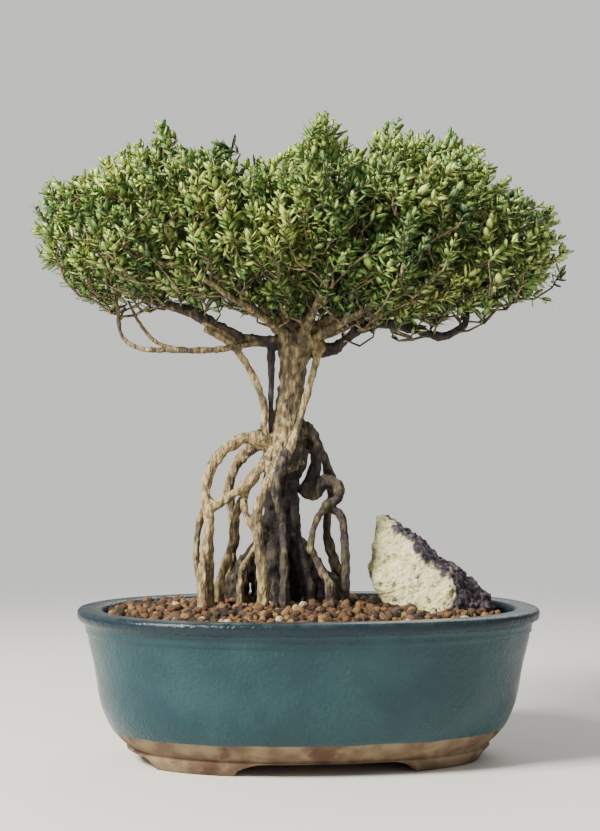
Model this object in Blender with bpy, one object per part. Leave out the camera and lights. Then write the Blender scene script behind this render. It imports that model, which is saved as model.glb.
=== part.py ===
"""A serissa bonsai with exposed roots in an oval glazed pot, with an accent stone.

Lengths are millimetres, turned into metres by MM where a mesh is made. The pot's long
side runs along X and its front faces -Y. The tree and the stone are laid out in the
tree's own front view and then turned by PLANTING_TURN, because the tree was planted
with its front a little to one side of the pot's.
"""

import math
import random

import bmesh
import bpy
from mathutils import Matrix, Vector, noise
from mathutils.bvhtree import BVHTree

MM = 0.001
FIT_GAP = 0.35
PLANTING_TURN = math.radians(-8.9)

# Pot
POT_LENGTH = 203.0
POT_DEPTH = 148.0
POT_HEIGHT = 65.8
POT_CORNER_POWER = 2.25
POT_SEGMENTS = 36
FOOT_HEIGHT = 6.0
FLOOR_TOP = 13.5
DRAIN_RADIUS = 8.0
DRAIN_SPACING = 76.0
DRAIN_SIDES = 16
MESH_SIZE = 28.0
MESH_THICKNESS = 1.0
MESH_CELLS = 5
POCKET_DEPTH = 3.0
OVERCUT = 3.0

# Soil
SOIL_EDGE_HEIGHT = 60.0
SOIL_EDGE_DROP = 2.0
SOIL_MOUND = 7.0
SOIL_RINGS = 10
GRAIN_HEIGHT = 2.6
GRAIN_SCALE = 0.34
ROOT_DEPTH = 9.0
HOLE_SIDES = 8
FOOT_RISE = 3.5

# Stone
STONE_SEAT_HEIGHT = 63.4
STONE_CENTRE = (56.0, 17.0)
STONE_SEAT_HALF = (35.0, 27.0)
STONE_EDGE_LENGTHS = (14.0, 10.0)
STONE_LUMPS = (9.0, 3.2)
STONE_CHIPS = (4.0, 1.4)
STONE_LIP = 0.6

# Trunk, roots and branches
TREE_FOOT = (-12.0, 0.0)
WANDER_SPACING = 9.0
WANDER_ASIDES = ((21.3, 0, 0), (0, 21.3, 0), (0, 0, 21.3))
ROOT_WANDER = 2.6
BRANCH_WANDER = 4.0
TWIG_ROOT_RADIUS = 1.1
TWIG_TIP_RADIUS = 0.75
SHORT_TWIG = 14.0
TWIG_START = 0.35
TWIG_END = 0.25
DOWNHILL_COST = 3.0

# Crown
CROWN_HEART = (-6, 0, 176)
CROWN_POWER = 2.6
CROWN_BOX = ((-106, 95), (-60, 60), (200, 270))
SPRAY_TRIES = 80
SPRAY_LIFT = 0.55
SPRAY_MARGIN = 13.0
BRANCH_CLEARANCE = 4.0
SPRAY_COUNT = 36
CORE_RADIUS = 9.5
CORE_LUMP_SPACING = 3.0
CORE_SIZES = (1.0, 0.85, 0.7, 0.55, 0.4)
STALK_INSET = 0.075
STALK_RADIUS = 1.5
STALK_LENGTH = 1.0
STEM_RADIUS = 0.9
CORE_FLATNESS = 0.85
CORE_LUMPS = 0.25
LEAVES_PER_SPRAY = 16
LEAF_LENGTH = 12.0
LEAF_WIDTH = 6.4
LEAF_THICKNESS = 1.0
LEAF_WIDEST = 0.45
LEAF_DROOP = 0.12
LEAF_SIZES = (0.85, 1.1)
SMALL_LEAVES = (0.75, 0.5)
LEAF_LEAN = (0, 45)
LEAF_FLIP = -0.2
LOWEST_LEAF = -6.0
LEAF_TEST_SIZE = 1.12
LEAF_SHADES = (0.8, 1.2)
GROWTH_SEED = 11

# The pot from under its floor, up the outside and down the inside: how far each ring lies
# inside the rim's outline, and its height
POT_OUTSIDE = [
    (38.0, FOOT_HEIGHT),
    (34.0, 0.0),
    (24.0, 0.0),
    (21.6, 5.4),
    (22.6, 6.0),
    (19.6, 8.4),
    (16.0, 13.5),
    (12.0, 20.0),
    (8.8, 31.0),
    (7.0, 43.0),
    (4.8, 51.0),
    (4.4, 55.4),
    (3.4, 56.2),
    (3.6, 58.6),
    (0.3, 61.4),
    (0.0, 64.8),
    (1.0, POT_HEIGHT),
    (9.8, POT_HEIGHT - 0.2),
    (11.0, POT_HEIGHT - 1.4),
]
POT_INSIDE = [
    (12.2, 50.0),
    (15.2, 34.0),
    (20.4, 21.0),
    (30.0, FLOOR_TOP),
]

# Half outline of the gap between two feet: half width and height
LONG_ARCH = [(38.5, -2.0), (36.5, 2.6), (26.0, FOOT_HEIGHT - 0.5)]
SHORT_ARCH = [(24.0, -2.0), (22.0, 2.6), (14.0, FOOT_HEIGHT - 0.5)]

# Crown as seen from the front: height of its top and underside, and its half depth, along x
CROWN_TOP = [
    (-122, 233), (-104, 250), (-80, 265), (-64, 271), (-45, 266), (-26, 259), (-8, 264),
    (5, 278), (20, 268), (36, 276), (60, 271), (76, 259), (92, 247), (110, 230),
]
CROWN_UNDERSIDE = [(-122, 222), (-100, 206), (-60, 199), (0, 197), (60, 199), (92, 203), (110, 210)]
CROWN_HALF_DEPTH = [(-122, 18), (-90, 42), (-50, 58), (0, 62), (50, 58), (85, 44), (110, 18)]

# Trunk and branches: x, y, z and radius at each point
TRUNK = [
    (-11, 0, 128, 10.0),
    (-11, 0, 141, 8.2),
    (-10, 0, 152, 6.0),
    (-8, 0, 163, 5.8),
    (-7, 0, 173, 6.2),
    (-6, 0, 181, 8.6),
    (-5, 0, 188, 6.5),
    (-4, 0, 194, 2.5),
]
BARE_STEMS = {
    "pale_left": [
        (-17, -6, 132, 1.8), (-20, -7, 143, 1.8), (-20, -7, 154, 1.7), (-24, -6, 165, 1.7),
        (-29, -5, 174, 1.7), (-36, -4, 182, 1.8), (-46, -3, 188, 1.6),
    ],
    "dark_left": [(-16, -2, 136, 1.6), (-17, -4, 150, 1.4), (-17, -4, 162, 1.4), (-17, -2, 181, 1.8)],
    "pale_right": [
        (-10, -9, 131, 1.9), (-6, -9, 143, 1.7), (-2, -9, 156, 1.6), (1, -8, 167, 1.6), (5, -4, 182, 1.9),
    ],
    "low_left": [
        (-24, -3, 182, 1.6), (-36, -6, 179, 1.5), (-48, -8, 178, 1.4), (-65, -9, 178, 1.2),
        (-75, -9, 179, 1.1), (-82, -8, 184, 1.0), (-84, -7, 194, 0.9), (-85, -6, 206, 0.8),
    ],
    "low_left_twig": [
        (-52, -8, 178, 1.1), (-66, -7, 181, 1.0), (-74, -5, 189, 0.9), (-80, -4, 200, 0.8),
    ],
}
BRANCHES = {
    "left_main": [
        (-6, 0, 181, 4.5), (-19, -1, 182, 3.2), (-31, -2, 186, 2.8), (-51, -3, 193, 2.5),
        (-70, -3, 201, 2.1), (-85, -2, 210, 1.6), (-96, 0, 220, 1.2),
    ],
    "left_upper": [
        (-8, 0, 184, 3.4), (-21, -5, 199, 2.0), (-34, -10, 209, 1.8), (-50, -14, 219, 1.5),
        (-64, -16, 228, 1.2),
    ],
    "left_back": [
        (-8, 3, 183, 3.2), (-24, 16, 197, 2.0), (-42, 27, 207, 1.7), (-62, 32, 217, 1.4),
        (-78, 30, 226, 1.1),
    ],
    "left_front": [
        (-8, -3, 182, 3.0), (-20, -17, 193, 1.9), (-34, -29, 202, 1.6), (-54, -34, 210, 1.3),
        (-72, -32, 216, 1.1),
    ],
    "middle_front": [(-4, -4, 183, 3.0), (0, -18, 195, 1.8), (6, -31, 205, 1.5), (9, -42, 214, 1.2)],
    "middle_back": [(-4, 4, 183, 3.0), (-5, 19, 196, 1.8), (-8, 32, 208, 1.5), (-8, 42, 220, 1.2)],
    "middle_left_top": [
        (-6, 0, 184, 3.6), (-14, -4, 198, 2.0), (-15, -3, 214, 1.7), (-17, 2, 232, 1.3),
    ],
    "middle_top": [
        (-3, 0, 184, 3.6), (2, -2, 199, 2.2), (3, -1, 216, 1.8), (6, 0, 232, 1.5), (8, 0, 246, 1.1),
    ],
    "right_top": [
        (-2, 0, 184, 3.6), (11, 3, 197, 2.0), (22, 5, 211, 1.8), (31, 5, 226, 1.5), (37, 3, 242, 1.1),
    ],
    "right_upper": [
        (-1, 0, 183, 3.4), (18, 6, 192, 2.1), (37, 9, 202, 1.8), (54, 10, 214, 1.5), (66, 8, 230, 1.1),
    ],
    "right_back": [
        (-1, 3, 182, 3.2), (16, 17, 193, 2.0), (34, 28, 203, 1.7), (54, 32, 213, 1.4),
        (70, 28, 223, 1.1),
    ],
    "right_front": [
        (-1, -3, 182, 3.0), (14, -16, 191, 1.9), (32, -28, 199, 1.6), (52, -31, 206, 1.3),
        (68, -26, 214, 1.1),
    ],
    "right_main": [
        (-5, 0, 180, 4.5), (8, -1, 180, 3.0), (14, -2, 184, 2.4), (22, -3, 188, 2.3), (34, -4, 189, 2.2),
        (46, -5, 187, 2.3), (55, -5, 186, 2.0), (64, -5, 187, 1.8), (69, -4, 192, 1.6),
        (71, -3, 201, 1.4), (80, -1, 210, 1.1),
    ],
}

# Roots that arch over the soil: x, y, z and radius, the last point is where the root goes down
ROOTS = {
    "arch_left": [
        (-13, -5, 138, 4.0), (-26, -8, 140, 3.0), (-34, -11, 137, 2.6), (-40, -13, 131, 2.5),
        (-45, -15, 118, 2.3), (-44, -17, 103, 2.5), (-44, -20, 88, 2.4), (-46, -22, 76, 2.4),
    ],
    "diagonal": [(-13, -7, 137, 3.6), (-21, -11, 128, 2.6), (-30, -14, 119, 2.4), (-43, -17, 109, 2.0)],
    "inner_left": [
        (-22, -11, 126, 2.2), (-29, -12, 116, 2.0), (-32, -10, 104, 2.0), (-33, -8, 94, 2.0),
        (-39, -10, 77, 2.4),
    ],
    "front": [
        (-14, -9, 131, 3.0), (-20, -15, 119, 2.2), (-22, -18, 104, 2.3), (-21, -19, 88, 2.2),
        (-20, -20, 76, 2.6),
    ],
    "front_strand": [
        (-29, -12, 114, 1.6), (-27, -16, 106, 1.6), (-22, -18, 95, 1.8), (-29, -13, 85, 1.6),
        (-30, -12, 76, 1.8),
    ],
    "front_right": [
        (-10, -8, 134, 3.2), (-15, -15, 120, 2.0), (-12, -14, 104, 1.9), (-12, -16, 90, 1.9),
        (-11, -17, 76, 2.2),
    ],
    "far_left": [(-43, -15, 114, 1.8), (-49, -10, 102, 1.6), (-49, -8, 88, 1.6), (-47, -8, 76, 2.0)],
    "curl_right": [
        (-7, 2, 145, 3.8), (1, 4, 142, 3.0), (4, 5, 133, 2.8), (2, 4, 124, 2.6), (-2, 1, 117, 2.6),
        (3, 2, 115, 2.4), (6, 3, 121, 2.6), (12, 3, 120, 2.8), (13, 2, 114, 2.4), (10, 1, 110, 2.2),
        (15, 0, 104, 2.0), (16, -1, 90, 2.0), (16, -4, 76, 2.3),
    ],
    "strand_right": [
        (9, 1, 112, 2.2), (3, -6, 104, 1.6), (0, -9, 94, 1.6), (3, -11, 86, 1.7), (9, -12, 76, 2.0),
    ],
    "inner_right": [(-8, 1, 121, 2.6), (-5, -6, 102, 1.8), (-3, -8, 90, 1.8), (0, -8, 76, 2.2)],
    "back_left": [
        (-15, 6, 139, 4.0), (-28, 14, 133, 2.8), (-35, 19, 118, 2.4), (-34, 21, 98, 2.3),
        (-37, 24, 76, 2.6),
    ],
    "back": [
        (-11, 8, 136, 4.0), (-12, 20, 128, 2.8), (-12, 27, 112, 2.5), (-15, 27, 94, 2.3),
        (-13, 31, 76, 2.7),
    ],
    "back_right": [
        (-6, 6, 138, 3.8), (6, 14, 131, 2.6), (11, 19, 116, 2.3), (9, 20, 98, 2.2), (14, 22, 76, 2.6),
    ],
    "core_left": [(-13, 3, 138, 7.5), (-14, 6, 118, 7.0), (-16, 7, 96, 6.8), (-18, 7, 76, 8.2)],
    "core_right": [(-7, 3, 136, 6.5), (-9, 6, 118, 6.0), (-9, 7, 98, 5.6), (-4, 7, 76, 7.5)],
    "buttress_left": [(-16, 5, 96, 5.0), (-25, 5, 86, 4.6), (-32, 4, 76, 5.2)],
    "buttress_right": [(-8, 6, 96, 4.6), (1, 6, 84, 4.4), (8, 6, 76, 4.8)],
    "buttress_front": [(-13, 1, 98, 4.6), (-14, -6, 86, 4.2), (-13, -8, 76, 4.8)],
    "buttress_back": [(-13, 9, 98, 4.6), (-14, 16, 86, 4.4), (-15, 19, 76, 5.0)],
}

# Corners of the stone: x, y and z
STONE_CORNERS = [
    (30, 18, 106.5), (38, 21, 103), (25.5, 13, 83), (29, 6, 74), (45, 8, 96), (52, 3, 85),
    (63, 1, 78), (64, -3, 70), (69, 12, 79), (76, 16, 74), (82, 14, 69), (44, 34, 93),
    (33, 31, 86), (58, 37, 79), (76, 30, 71), (34, 7, STONE_SEAT_HEIGHT), (57, -4, STONE_SEAT_HEIGHT),
    (78, 4, STONE_SEAT_HEIGHT), (83, 13, STONE_SEAT_HEIGHT), (35, 33, STONE_SEAT_HEIGHT),
    (58, 39, STONE_SEAT_HEIGHT), (77, 32, STONE_SEAT_HEIGHT),
]
POT_HALF_LENGTH = POT_LENGTH / 2
POT_HALF_DEPTH = POT_DEPTH / 2


def clear_scene():
    """Removes whatever the file held."""
    for thing in list(bpy.data.objects):
        bpy.data.objects.remove(thing, do_unlink=True)


def make_material(name, colour, roughness, metallic=0.0):
    """A Principled material with one colour."""
    material = bpy.data.materials.new(name)
    material.use_nodes = True
    shader = material.node_tree.nodes["Principled BSDF"]
    shader.inputs["Base Color"].default_value = (*colour, 1.0)
    shader.inputs["Roughness"].default_value = roughness
    shader.inputs["Metallic"].default_value = metallic
    material.diffuse_color = (*colour, 1.0)
    return material


def add_object(name, mesh, material=None):
    """Links a new object with this mesh to the scene."""
    thing = bpy.data.objects.new(name, mesh)
    bpy.context.scene.collection.objects.link(thing)
    if material:
        mesh.materials.clear()
        mesh.materials.append(material)
    return thing


def mesh_from(shape, name):
    """Scales a bmesh from millimetres to metres and turns it into a mesh."""
    bmesh.ops.scale(shape, vec=(MM, MM, MM), verts=shape.verts)
    mesh = bpy.data.meshes.new(name)
    shape.to_mesh(mesh)
    shape.free()
    return mesh


def turned(x, y, z):
    """A point of the tree's front view in the pot's frame."""
    return Matrix.Rotation(PLANTING_TURN, 3, "Z") @ Vector((x, y, z))


def along(line, x):
    """The value at x of a line given as (x, value) points."""
    for (x0, v0), (x1, v1) in zip(line, line[1:]):
        if x <= x1:
            return v0 + (v1 - v0) * max(0.0, x - x0) / (x1 - x0)
    return line[-1][1]


def pot_outline(inset, height, segments=POT_SEGMENTS):
    """Points of the pot's rounded oval, this far inside the rim."""
    points = []
    for step in range(segments):
        angle = math.tau * (step + 0.5) / segments
        across, deep = math.cos(angle), math.sin(angle)
        x = math.copysign(abs(across) ** (2 / POT_CORNER_POWER), across)
        y = math.copysign(abs(deep) ** (2 / POT_CORNER_POWER), deep)
        points.append((x * (POT_HALF_LENGTH - inset), y * (POT_HALF_DEPTH - inset), height))
    return points


def skin_rings(shape, rings):
    """Joins rings of points into a wall, and fans each end to a point at its centre."""
    loops = [[shape.verts.new(point) for point in ring] for ring in rings]
    count = len(loops[0])
    for low, high in zip(loops, loops[1:]):
        for step in range(count):
            after = (step + 1) % count
            shape.faces.new((low[step], low[after], high[after], high[step]))
    for loop, flip in ((loops[0], True), (loops[-1], False)):
        centre = shape.verts.new(sum((vert.co for vert in loop), Vector()) / count)
        for step in range(count):
            corners = (loop[step], loop[(step + 1) % count], centre)
            shape.faces.new(corners[::-1] if flip else corners)
    bmesh.ops.recalc_face_normals(shape, faces=shape.faces)


def add_cutter(name, mesh, target):
    """Cuts the target with this mesh by a live Boolean."""
    cutter = add_object(name, mesh)
    cutter.hide_render = True
    cutter.display_type = "WIRE"
    cut = target.modifiers.new(name, "BOOLEAN")
    cut.operation = "DIFFERENCE"
    cut.solver = "EXACT"
    cut.object = cutter


def arch_mesh(half_outline, reach, along_x):
    """A bar with the outline of the gap between two feet, to cut it through the foot ring."""
    outline = [(-half, height) for half, height in half_outline]
    outline += [(half, height) for half, height in reversed(half_outline)]
    shape = bmesh.new()
    ends = []
    for side in (-reach, reach):
        points = [(side, half, height) if along_x else (half, side, height) for half, height in outline]
        ends.append([shape.verts.new(point) for point in points])
    count = len(outline)
    for step in range(count):
        after = (step + 1) % count
        shape.faces.new((ends[0][step], ends[0][after], ends[1][after], ends[1][step]))
    for end in ends:
        shape.faces.new(end)
    bmesh.ops.recalc_face_normals(shape, faces=shape.faces)
    return mesh_from(shape, "arch")


def prism_mesh(centre, radius, low, high, sides):
    """An upright prism."""
    shape = bmesh.new()
    bmesh.ops.create_cone(
        shape,
        cap_ends=True,
        segments=sides,
        radius1=radius,
        radius2=radius,
        depth=high - low,
        matrix=Matrix.Translation((centre[0], centre[1], (low + high) / 2)),
    )
    return mesh_from(shape, "prism")


def build_pot():
    """The fired pot: bowl, lip and foot ring in one, with four feet and two drain holes."""
    rings = [pot_outline(inset, height) for inset, height in POT_OUTSIDE + POT_INSIDE]
    shape = bmesh.new()
    skin_rings(shape, rings)
    glaze = make_material("pot_glaze", (0.06, 0.16, 0.19), 0.3)
    pot = add_object("pot", mesh_from(shape, "pot"), glaze)
    add_cutter("front_arch", arch_mesh(LONG_ARCH, POT_HALF_DEPTH, False), pot)
    add_cutter("side_arch", arch_mesh(SHORT_ARCH, POT_HALF_LENGTH, True), pot)
    for side in (-1, 1):
        centre = (side * DRAIN_SPACING / 2, 0.0)
        hole = prism_mesh(centre, DRAIN_RADIUS, FOOT_HEIGHT - OVERCUT, FLOOR_TOP + OVERCUT, DRAIN_SIDES)
        add_cutter(f"drain_hole_{'left' if side < 0 else 'right'}", hole, pot)


def build_drain_meshes():
    """A square of plastic mesh over each drain hole, which keeps the soil in."""
    for side, name in ((-1, "drain_mesh_left"), (1, "drain_mesh_right")):
        shape = bmesh.new()
        middle = (side * DRAIN_SPACING / 2, 0.0, FLOOR_TOP + FIT_GAP)
        bmesh.ops.create_grid(
            shape,
            x_segments=MESH_CELLS,
            y_segments=MESH_CELLS,
            size=MESH_SIZE / 2,
            matrix=Matrix.Translation(middle),
        )
        cell = MESH_SIZE / MESH_CELLS
        holes = []
        for face in shape.faces:
            spot = face.calc_center_median() - Vector(middle)
            column = round(spot.x / cell + (MESH_CELLS - 1) / 2)
            row = round(spot.y / cell + (MESH_CELLS - 1) / 2)
            if column % 2 and row % 2:
                holes.append(face)
        bmesh.ops.delete(shape, geom=holes, context="FACES")
        flat = shape.faces[:]
        raised = bmesh.ops.extrude_face_region(shape, geom=flat)["geom"]
        tops = [part for part in raised if isinstance(part, bmesh.types.BMVert)]
        bmesh.ops.translate(shape, vec=(0, 0, MESH_THICKNESS), verts=tops)
        bmesh.ops.recalc_face_normals(shape, faces=shape.faces)
        plastic = make_material(name, (0.02, 0.02, 0.02), 0.6)
        add_object(name, mesh_from(shape, name), plastic)


def soil_height(x, y):
    """Height of the soil: a low mound at the tree, with granules, and level under the stone."""
    foot = turned(*TREE_FOOT, 0)
    spread = ((x - foot.x) / POT_HALF_LENGTH) ** 2 + ((y - foot.y) / POT_HALF_DEPTH) ** 2
    mound = SOIL_EDGE_HEIGHT + SOIL_MOUND * max(0.0, 1 - spread)
    grain = noise.noise(Vector((x, y, 0)) * GRAIN_SCALE) * GRAIN_HEIGHT
    stone = turned(*STONE_CENTRE, 0)
    seat = ((x - stone.x) / STONE_SEAT_HALF[0]) ** 2 + ((y - stone.y) / STONE_SEAT_HALF[1]) ** 2
    if seat < 1:
        return min(mound + grain, STONE_SEAT_HEIGHT - FIT_GAP)
    return mound + grain


def inner_inset(height):
    """How far the pot's inner face lies inside the rim's outline at this height."""
    line = sorted((z, inset) for inset, z in [POT_OUTSIDE[-1]] + POT_INSIDE)
    return along(line, height)


def build_soil(root_feet):
    """The soil fills the pot up to a mound of granules, with a plain hole for each root."""
    rings = []
    for inset, height in reversed(POT_INSIDE):
        lift = FIT_GAP if height == FLOOR_TOP else 0.0
        rings.append(pot_outline(inset + FIT_GAP, height + lift))
    edge_inset = inner_inset(SOIL_EDGE_HEIGHT) + FIT_GAP
    rings.append(pot_outline(edge_inset, SOIL_EDGE_HEIGHT - SOIL_EDGE_DROP))
    for ring in range(SOIL_RINGS):
        share = 1 - ring / SOIL_RINGS
        flat = [(x * share, y * share) for x, y, _ in pot_outline(edge_inset, 0)]
        rings.append([(x, y, soil_height(x, y)) for x, y in flat])
    shape = bmesh.new()
    skin_rings(shape, rings)
    earth = make_material("soil", (0.22, 0.13, 0.07), 0.95)
    soil = add_object("soil", mesh_from(shape, "soil"), earth)
    for number, (x, y, radius) in enumerate(root_feet):
        top = SOIL_EDGE_HEIGHT + SOIL_MOUND + ROOT_DEPTH
        low = soil_height(x, y) - ROOT_DEPTH - FIT_GAP
        hole_radius = (radius + FIT_GAP) / math.cos(math.pi / HOLE_SIDES)
        hole = prism_mesh((x, y), hole_radius, low, top, HOLE_SIDES)
        add_cutter(f"root_hole_{number:02d}", hole, soil)
    for side in (-1, 1):
        half = MESH_SIZE / 2 + 2 * FIT_GAP
        pocket = bmesh.new()
        bmesh.ops.create_cube(pocket, size=2.0)
        bmesh.ops.scale(pocket, vec=(half, half, POCKET_DEPTH), verts=pocket.verts)
        spot = (side * DRAIN_SPACING / 2, 0.0, FLOOR_TOP + MESH_THICKNESS + 2 * FIT_GAP - POCKET_DEPTH)
        bmesh.ops.translate(pocket, vec=spot, verts=pocket.verts)
        add_cutter(f"mesh_pocket_{'left' if side < 0 else 'right'}", mesh_from(pocket, "pocket"), soil)


def build_stone():
    """The accent stone: one rough weathered block on the soil."""
    shape = bmesh.new()
    for corner in STONE_CORNERS:
        shape.verts.new(turned(*corner))
    hull = bmesh.ops.convex_hull(shape, input=shape.verts)
    bmesh.ops.delete(shape, geom=list(set(hull["geom_interior"])), context="VERTS")
    for longest in STONE_EDGE_LENGTHS:
        long_edges = [edge for edge in shape.edges if edge.calc_length() > longest]
        bmesh.ops.subdivide_edges(shape, edges=long_edges, cuts=1, use_grid_fill=True)
        bmesh.ops.triangulate(shape, faces=shape.faces[:])
    centre = sum((vert.co for vert in shape.verts), Vector()) / len(shape.verts)
    for vert in shape.verts:
        if vert.co.z < STONE_SEAT_HEIGHT + STONE_LIP / 2:
            continue
        push = sum(noise.noise(vert.co / spacing) * depth for spacing, depth in (STONE_LUMPS, STONE_CHIPS))
        vert.co += (vert.co - centre).normalized() * push
        vert.co.z = max(vert.co.z, STONE_SEAT_HEIGHT + STONE_LIP)
    bmesh.ops.recalc_face_normals(shape, faces=shape.faces)
    rock = make_material("stone", (0.62, 0.6, 0.45), 0.9)
    add_object("stone", mesh_from(shape, "stone"), rock)


def tube(points, name, resolution, collection):
    """A tapering round tube through the points, with flat ends. Each point holds its radius."""
    curve = bpy.data.curves.new(name, "CURVE")
    curve.dimensions = "3D"
    curve.bevel_depth = MM
    curve.bevel_resolution = resolution
    curve.use_fill_caps = True
    spline = curve.splines.new("POLY")
    spline.points.add(len(points) - 1)
    for slot, (x, y, z, radius) in zip(spline.points, points):
        slot.co = (x * MM, y * MM, z * MM, 1.0)
        slot.radius = radius
    drawn = bpy.data.objects.new(name, curve)
    bpy.context.scene.collection.objects.link(drawn)
    mesh = bpy.data.meshes.new_from_object(drawn.evaluated_get(bpy.context.evaluated_depsgraph_get()))
    bpy.data.objects.remove(drawn, do_unlink=True)
    shape = bmesh.new()
    shape.from_mesh(mesh)
    bmesh.ops.remove_doubles(shape, verts=shape.verts, dist=0.00001)
    bmesh.ops.recalc_face_normals(shape, faces=shape.faces)
    shape.to_mesh(mesh)
    shape.free()
    piece = bpy.data.objects.new(name, mesh)
    collection.objects.link(piece)
    return piece


def drop_scraps(mesh):
    """Keeps the largest connected part of a mesh."""
    shape = bmesh.new()
    shape.from_mesh(mesh)
    unseen = set(shape.verts)
    parts = []
    while unseen:
        part = [unseen.pop()]
        for vert in part:
            near = {edge.other_vert(vert) for edge in vert.link_edges} & unseen
            unseen -= near
            part.extend(near)
        parts.append(part)
    parts.sort(key=len)
    scraps = [vert for part in parts[:-1] for vert in part]
    bmesh.ops.delete(shape, geom=scraps, context="VERTS")
    shape.to_mesh(mesh)
    shape.free()


def fuse(name, collection, material, solver):
    """Joins the collection's pieces into one solid and removes them."""
    pieces = list(collection.objects)
    base = pieces[0]
    collection.objects.unlink(base)
    bpy.context.scene.collection.objects.link(base)
    bpy.context.scene.collection.children.link(collection)
    union = base.modifiers.new("union", "BOOLEAN")
    union.operation = "UNION"
    union.operand_type = "COLLECTION"
    union.collection = collection
    union.solver = solver
    joined = bpy.data.meshes.new_from_object(base.evaluated_get(bpy.context.evaluated_depsgraph_get()))
    for piece in pieces:
        bpy.data.objects.remove(piece, do_unlink=True)
    bpy.data.collections.remove(collection)
    drop_scraps(joined)
    joined.name = name
    return add_object(name, joined, material)


def in_pot_frame(points):
    """Turns points of the tree's front view, each with its radius, into the pot's frame."""
    return [(*turned(x, y, z), radius) for x, y, z, radius in points]


def crown_inside(x, y, z, margin):
    """True if the point lies this far inside the crown."""
    top = along(CROWN_TOP, x) - margin
    underside = along(CROWN_UNDERSIDE, x) + margin
    half_depth = along(CROWN_HALF_DEPTH, x) - margin
    if top <= underside or half_depth <= 0:
        return False
    rise = (z - (top + underside) / 2) / ((top + underside) / 2 - underside)
    return abs(y / half_depth) ** CROWN_POWER + abs(rise) ** CROWN_POWER <= 1


def gnarled(line, wander):
    """Bends the inner points of a line a little to and fro, as old wood grows."""
    bent = [line[0]]
    for *place, radius in line[1:-1]:
        spot = Vector(place) / WANDER_SPACING
        shift = [noise.noise(spot + Vector(aside)) * wander for aside in WANDER_ASIDES]
        bent.append((*(Vector(place) + Vector(shift)), radius))
    return bent + [line[-1]]


def branch_runs():
    """Each straight run of the branches, as its two ends."""
    for line in BRANCHES.values():
        bent = gnarled(line, BRANCH_WANDER)
        for start, end in zip(bent[1:], bent[2:]):
            yield Vector(start[:3]), Vector(end[:3])


def nearest_on_run(spot, start, end):
    """The point of a straight run that lies nearest to a spot."""
    share = (spot - start).dot(end - start) / (end - start).length_squared
    return start.lerp(end, min(1.0, max(0.0, share)))


def spray_centres(draw):
    """Spreads the sprays evenly through the crown: each is the candidate farthest from the rest."""
    centres = []
    while len(centres) < SPRAY_COUNT:
        best = None
        best_gap = -1.0
        tries = 0
        while tries < SPRAY_TRIES:
            spot = Vector([draw.uniform(*span) for span in CROWN_BOX])
            if not crown_inside(*spot, SPRAY_MARGIN):
                continue
            to_branch = min((spot - nearest_on_run(spot, *run)).length for run in branch_runs())
            if to_branch < CORE_RADIUS + BRANCH_CLEARANCE:
                continue
            tries += 1
            gap = min(((spot - other).length for other in centres), default=math.inf)
            if gap > best_gap:
                best = spot
                best_gap = gap
        centres.append(best)
    return sorted(centres, key=lambda spot: spot.x)


def grow_twig(spray):
    """Points of the twig from the nearest branch to the foot of a spray, and the way it points."""
    outward = ((spray - Vector(CROWN_HEART)).normalized() + Vector((0, 0, SPRAY_LIFT))).normalized()
    foot = spray - outward * (CORE_RADIUS + STALK_LENGTH)
    best = None
    for start, end in branch_runs():
        spot = nearest_on_run(foot, start, end)
        cost = (foot - spot).length + max(0.0, spot.z - foot.z + BRANCH_CLEARANCE) * DOWNHILL_COST
        if best is None or cost < best[0]:
            best = (cost, spot, (end - start).normalized())
    _, root, way = best
    reach = (foot - root).length
    first = root + (way / 2 + (foot - root).normalized()).normalized() * reach * TWIG_START
    second = foot - outward * reach * TWIG_END
    path = [root, first, second, foot] if reach > SHORT_TWIG else [root, second, foot]
    last = len(path) - 1
    taper = TWIG_ROOT_RADIUS - TWIG_TIP_RADIUS
    points = [(*spot, TWIG_ROOT_RADIUS - taper * step / last) for step, spot in enumerate(path)]
    return points, outward


def build_tree(twigs):
    """Trunk, roots and branches grown as one piece of wood. Returns the feet of its roots."""
    wood = bpy.data.collections.new("wood")
    tube(in_pot_frame(TRUNK), "trunk", 2, wood)
    feet = []
    for name, line in ROOTS.items():
        points = in_pot_frame(gnarled(line, ROOT_WANDER))
        x, y, _, radius = points[-1]
        surface = soil_height(x, y)
        points[-1] = (x, y, surface + FOOT_RISE, radius)
        points.append((x, y, surface - ROOT_DEPTH, radius))
        tube(points, name, 1, wood)
        feet.append((x, y, radius))
    for name, line in BARE_STEMS.items():
        tube(in_pot_frame(line), name, 1, wood)
    for name, line in BRANCHES.items():
        tube(in_pot_frame(gnarled(line, BRANCH_WANDER)), name, 1, wood)
    for number, (points, _) in enumerate(twigs):
        tube(in_pot_frame(points), f"twig_{number:02d}", 0, wood)
    bark = make_material("bark", (0.2, 0.15, 0.1), 0.9)
    tree = fuse("trunk_roots_branches", wood, bark, "MANIFOLD")
    return tree, feet


def tree_of(mesh):
    """A search tree over a mesh, to test whether pieces touch."""
    points = [vert.co / MM for vert in mesh.vertices]
    return BVHTree.FromPolygons(points, [list(face.vertices) for face in mesh.polygons])


def leaf_shape(root, way, up, size):
    """Left edge, right edge and keel of a leaf at its widest place, and its tip."""
    side = way.cross(up).normalized()
    up = side.cross(way).normalized()
    length, width = LEAF_LENGTH * size, LEAF_WIDTH * size
    widest = root + way * (length * LEAF_WIDEST)
    half = side * (width / 2)
    keel = widest - up * LEAF_THICKNESS
    tip = root + way * length - up * (length * LEAF_DROOP)
    return [widest + half, widest - half, keel], tip


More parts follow.
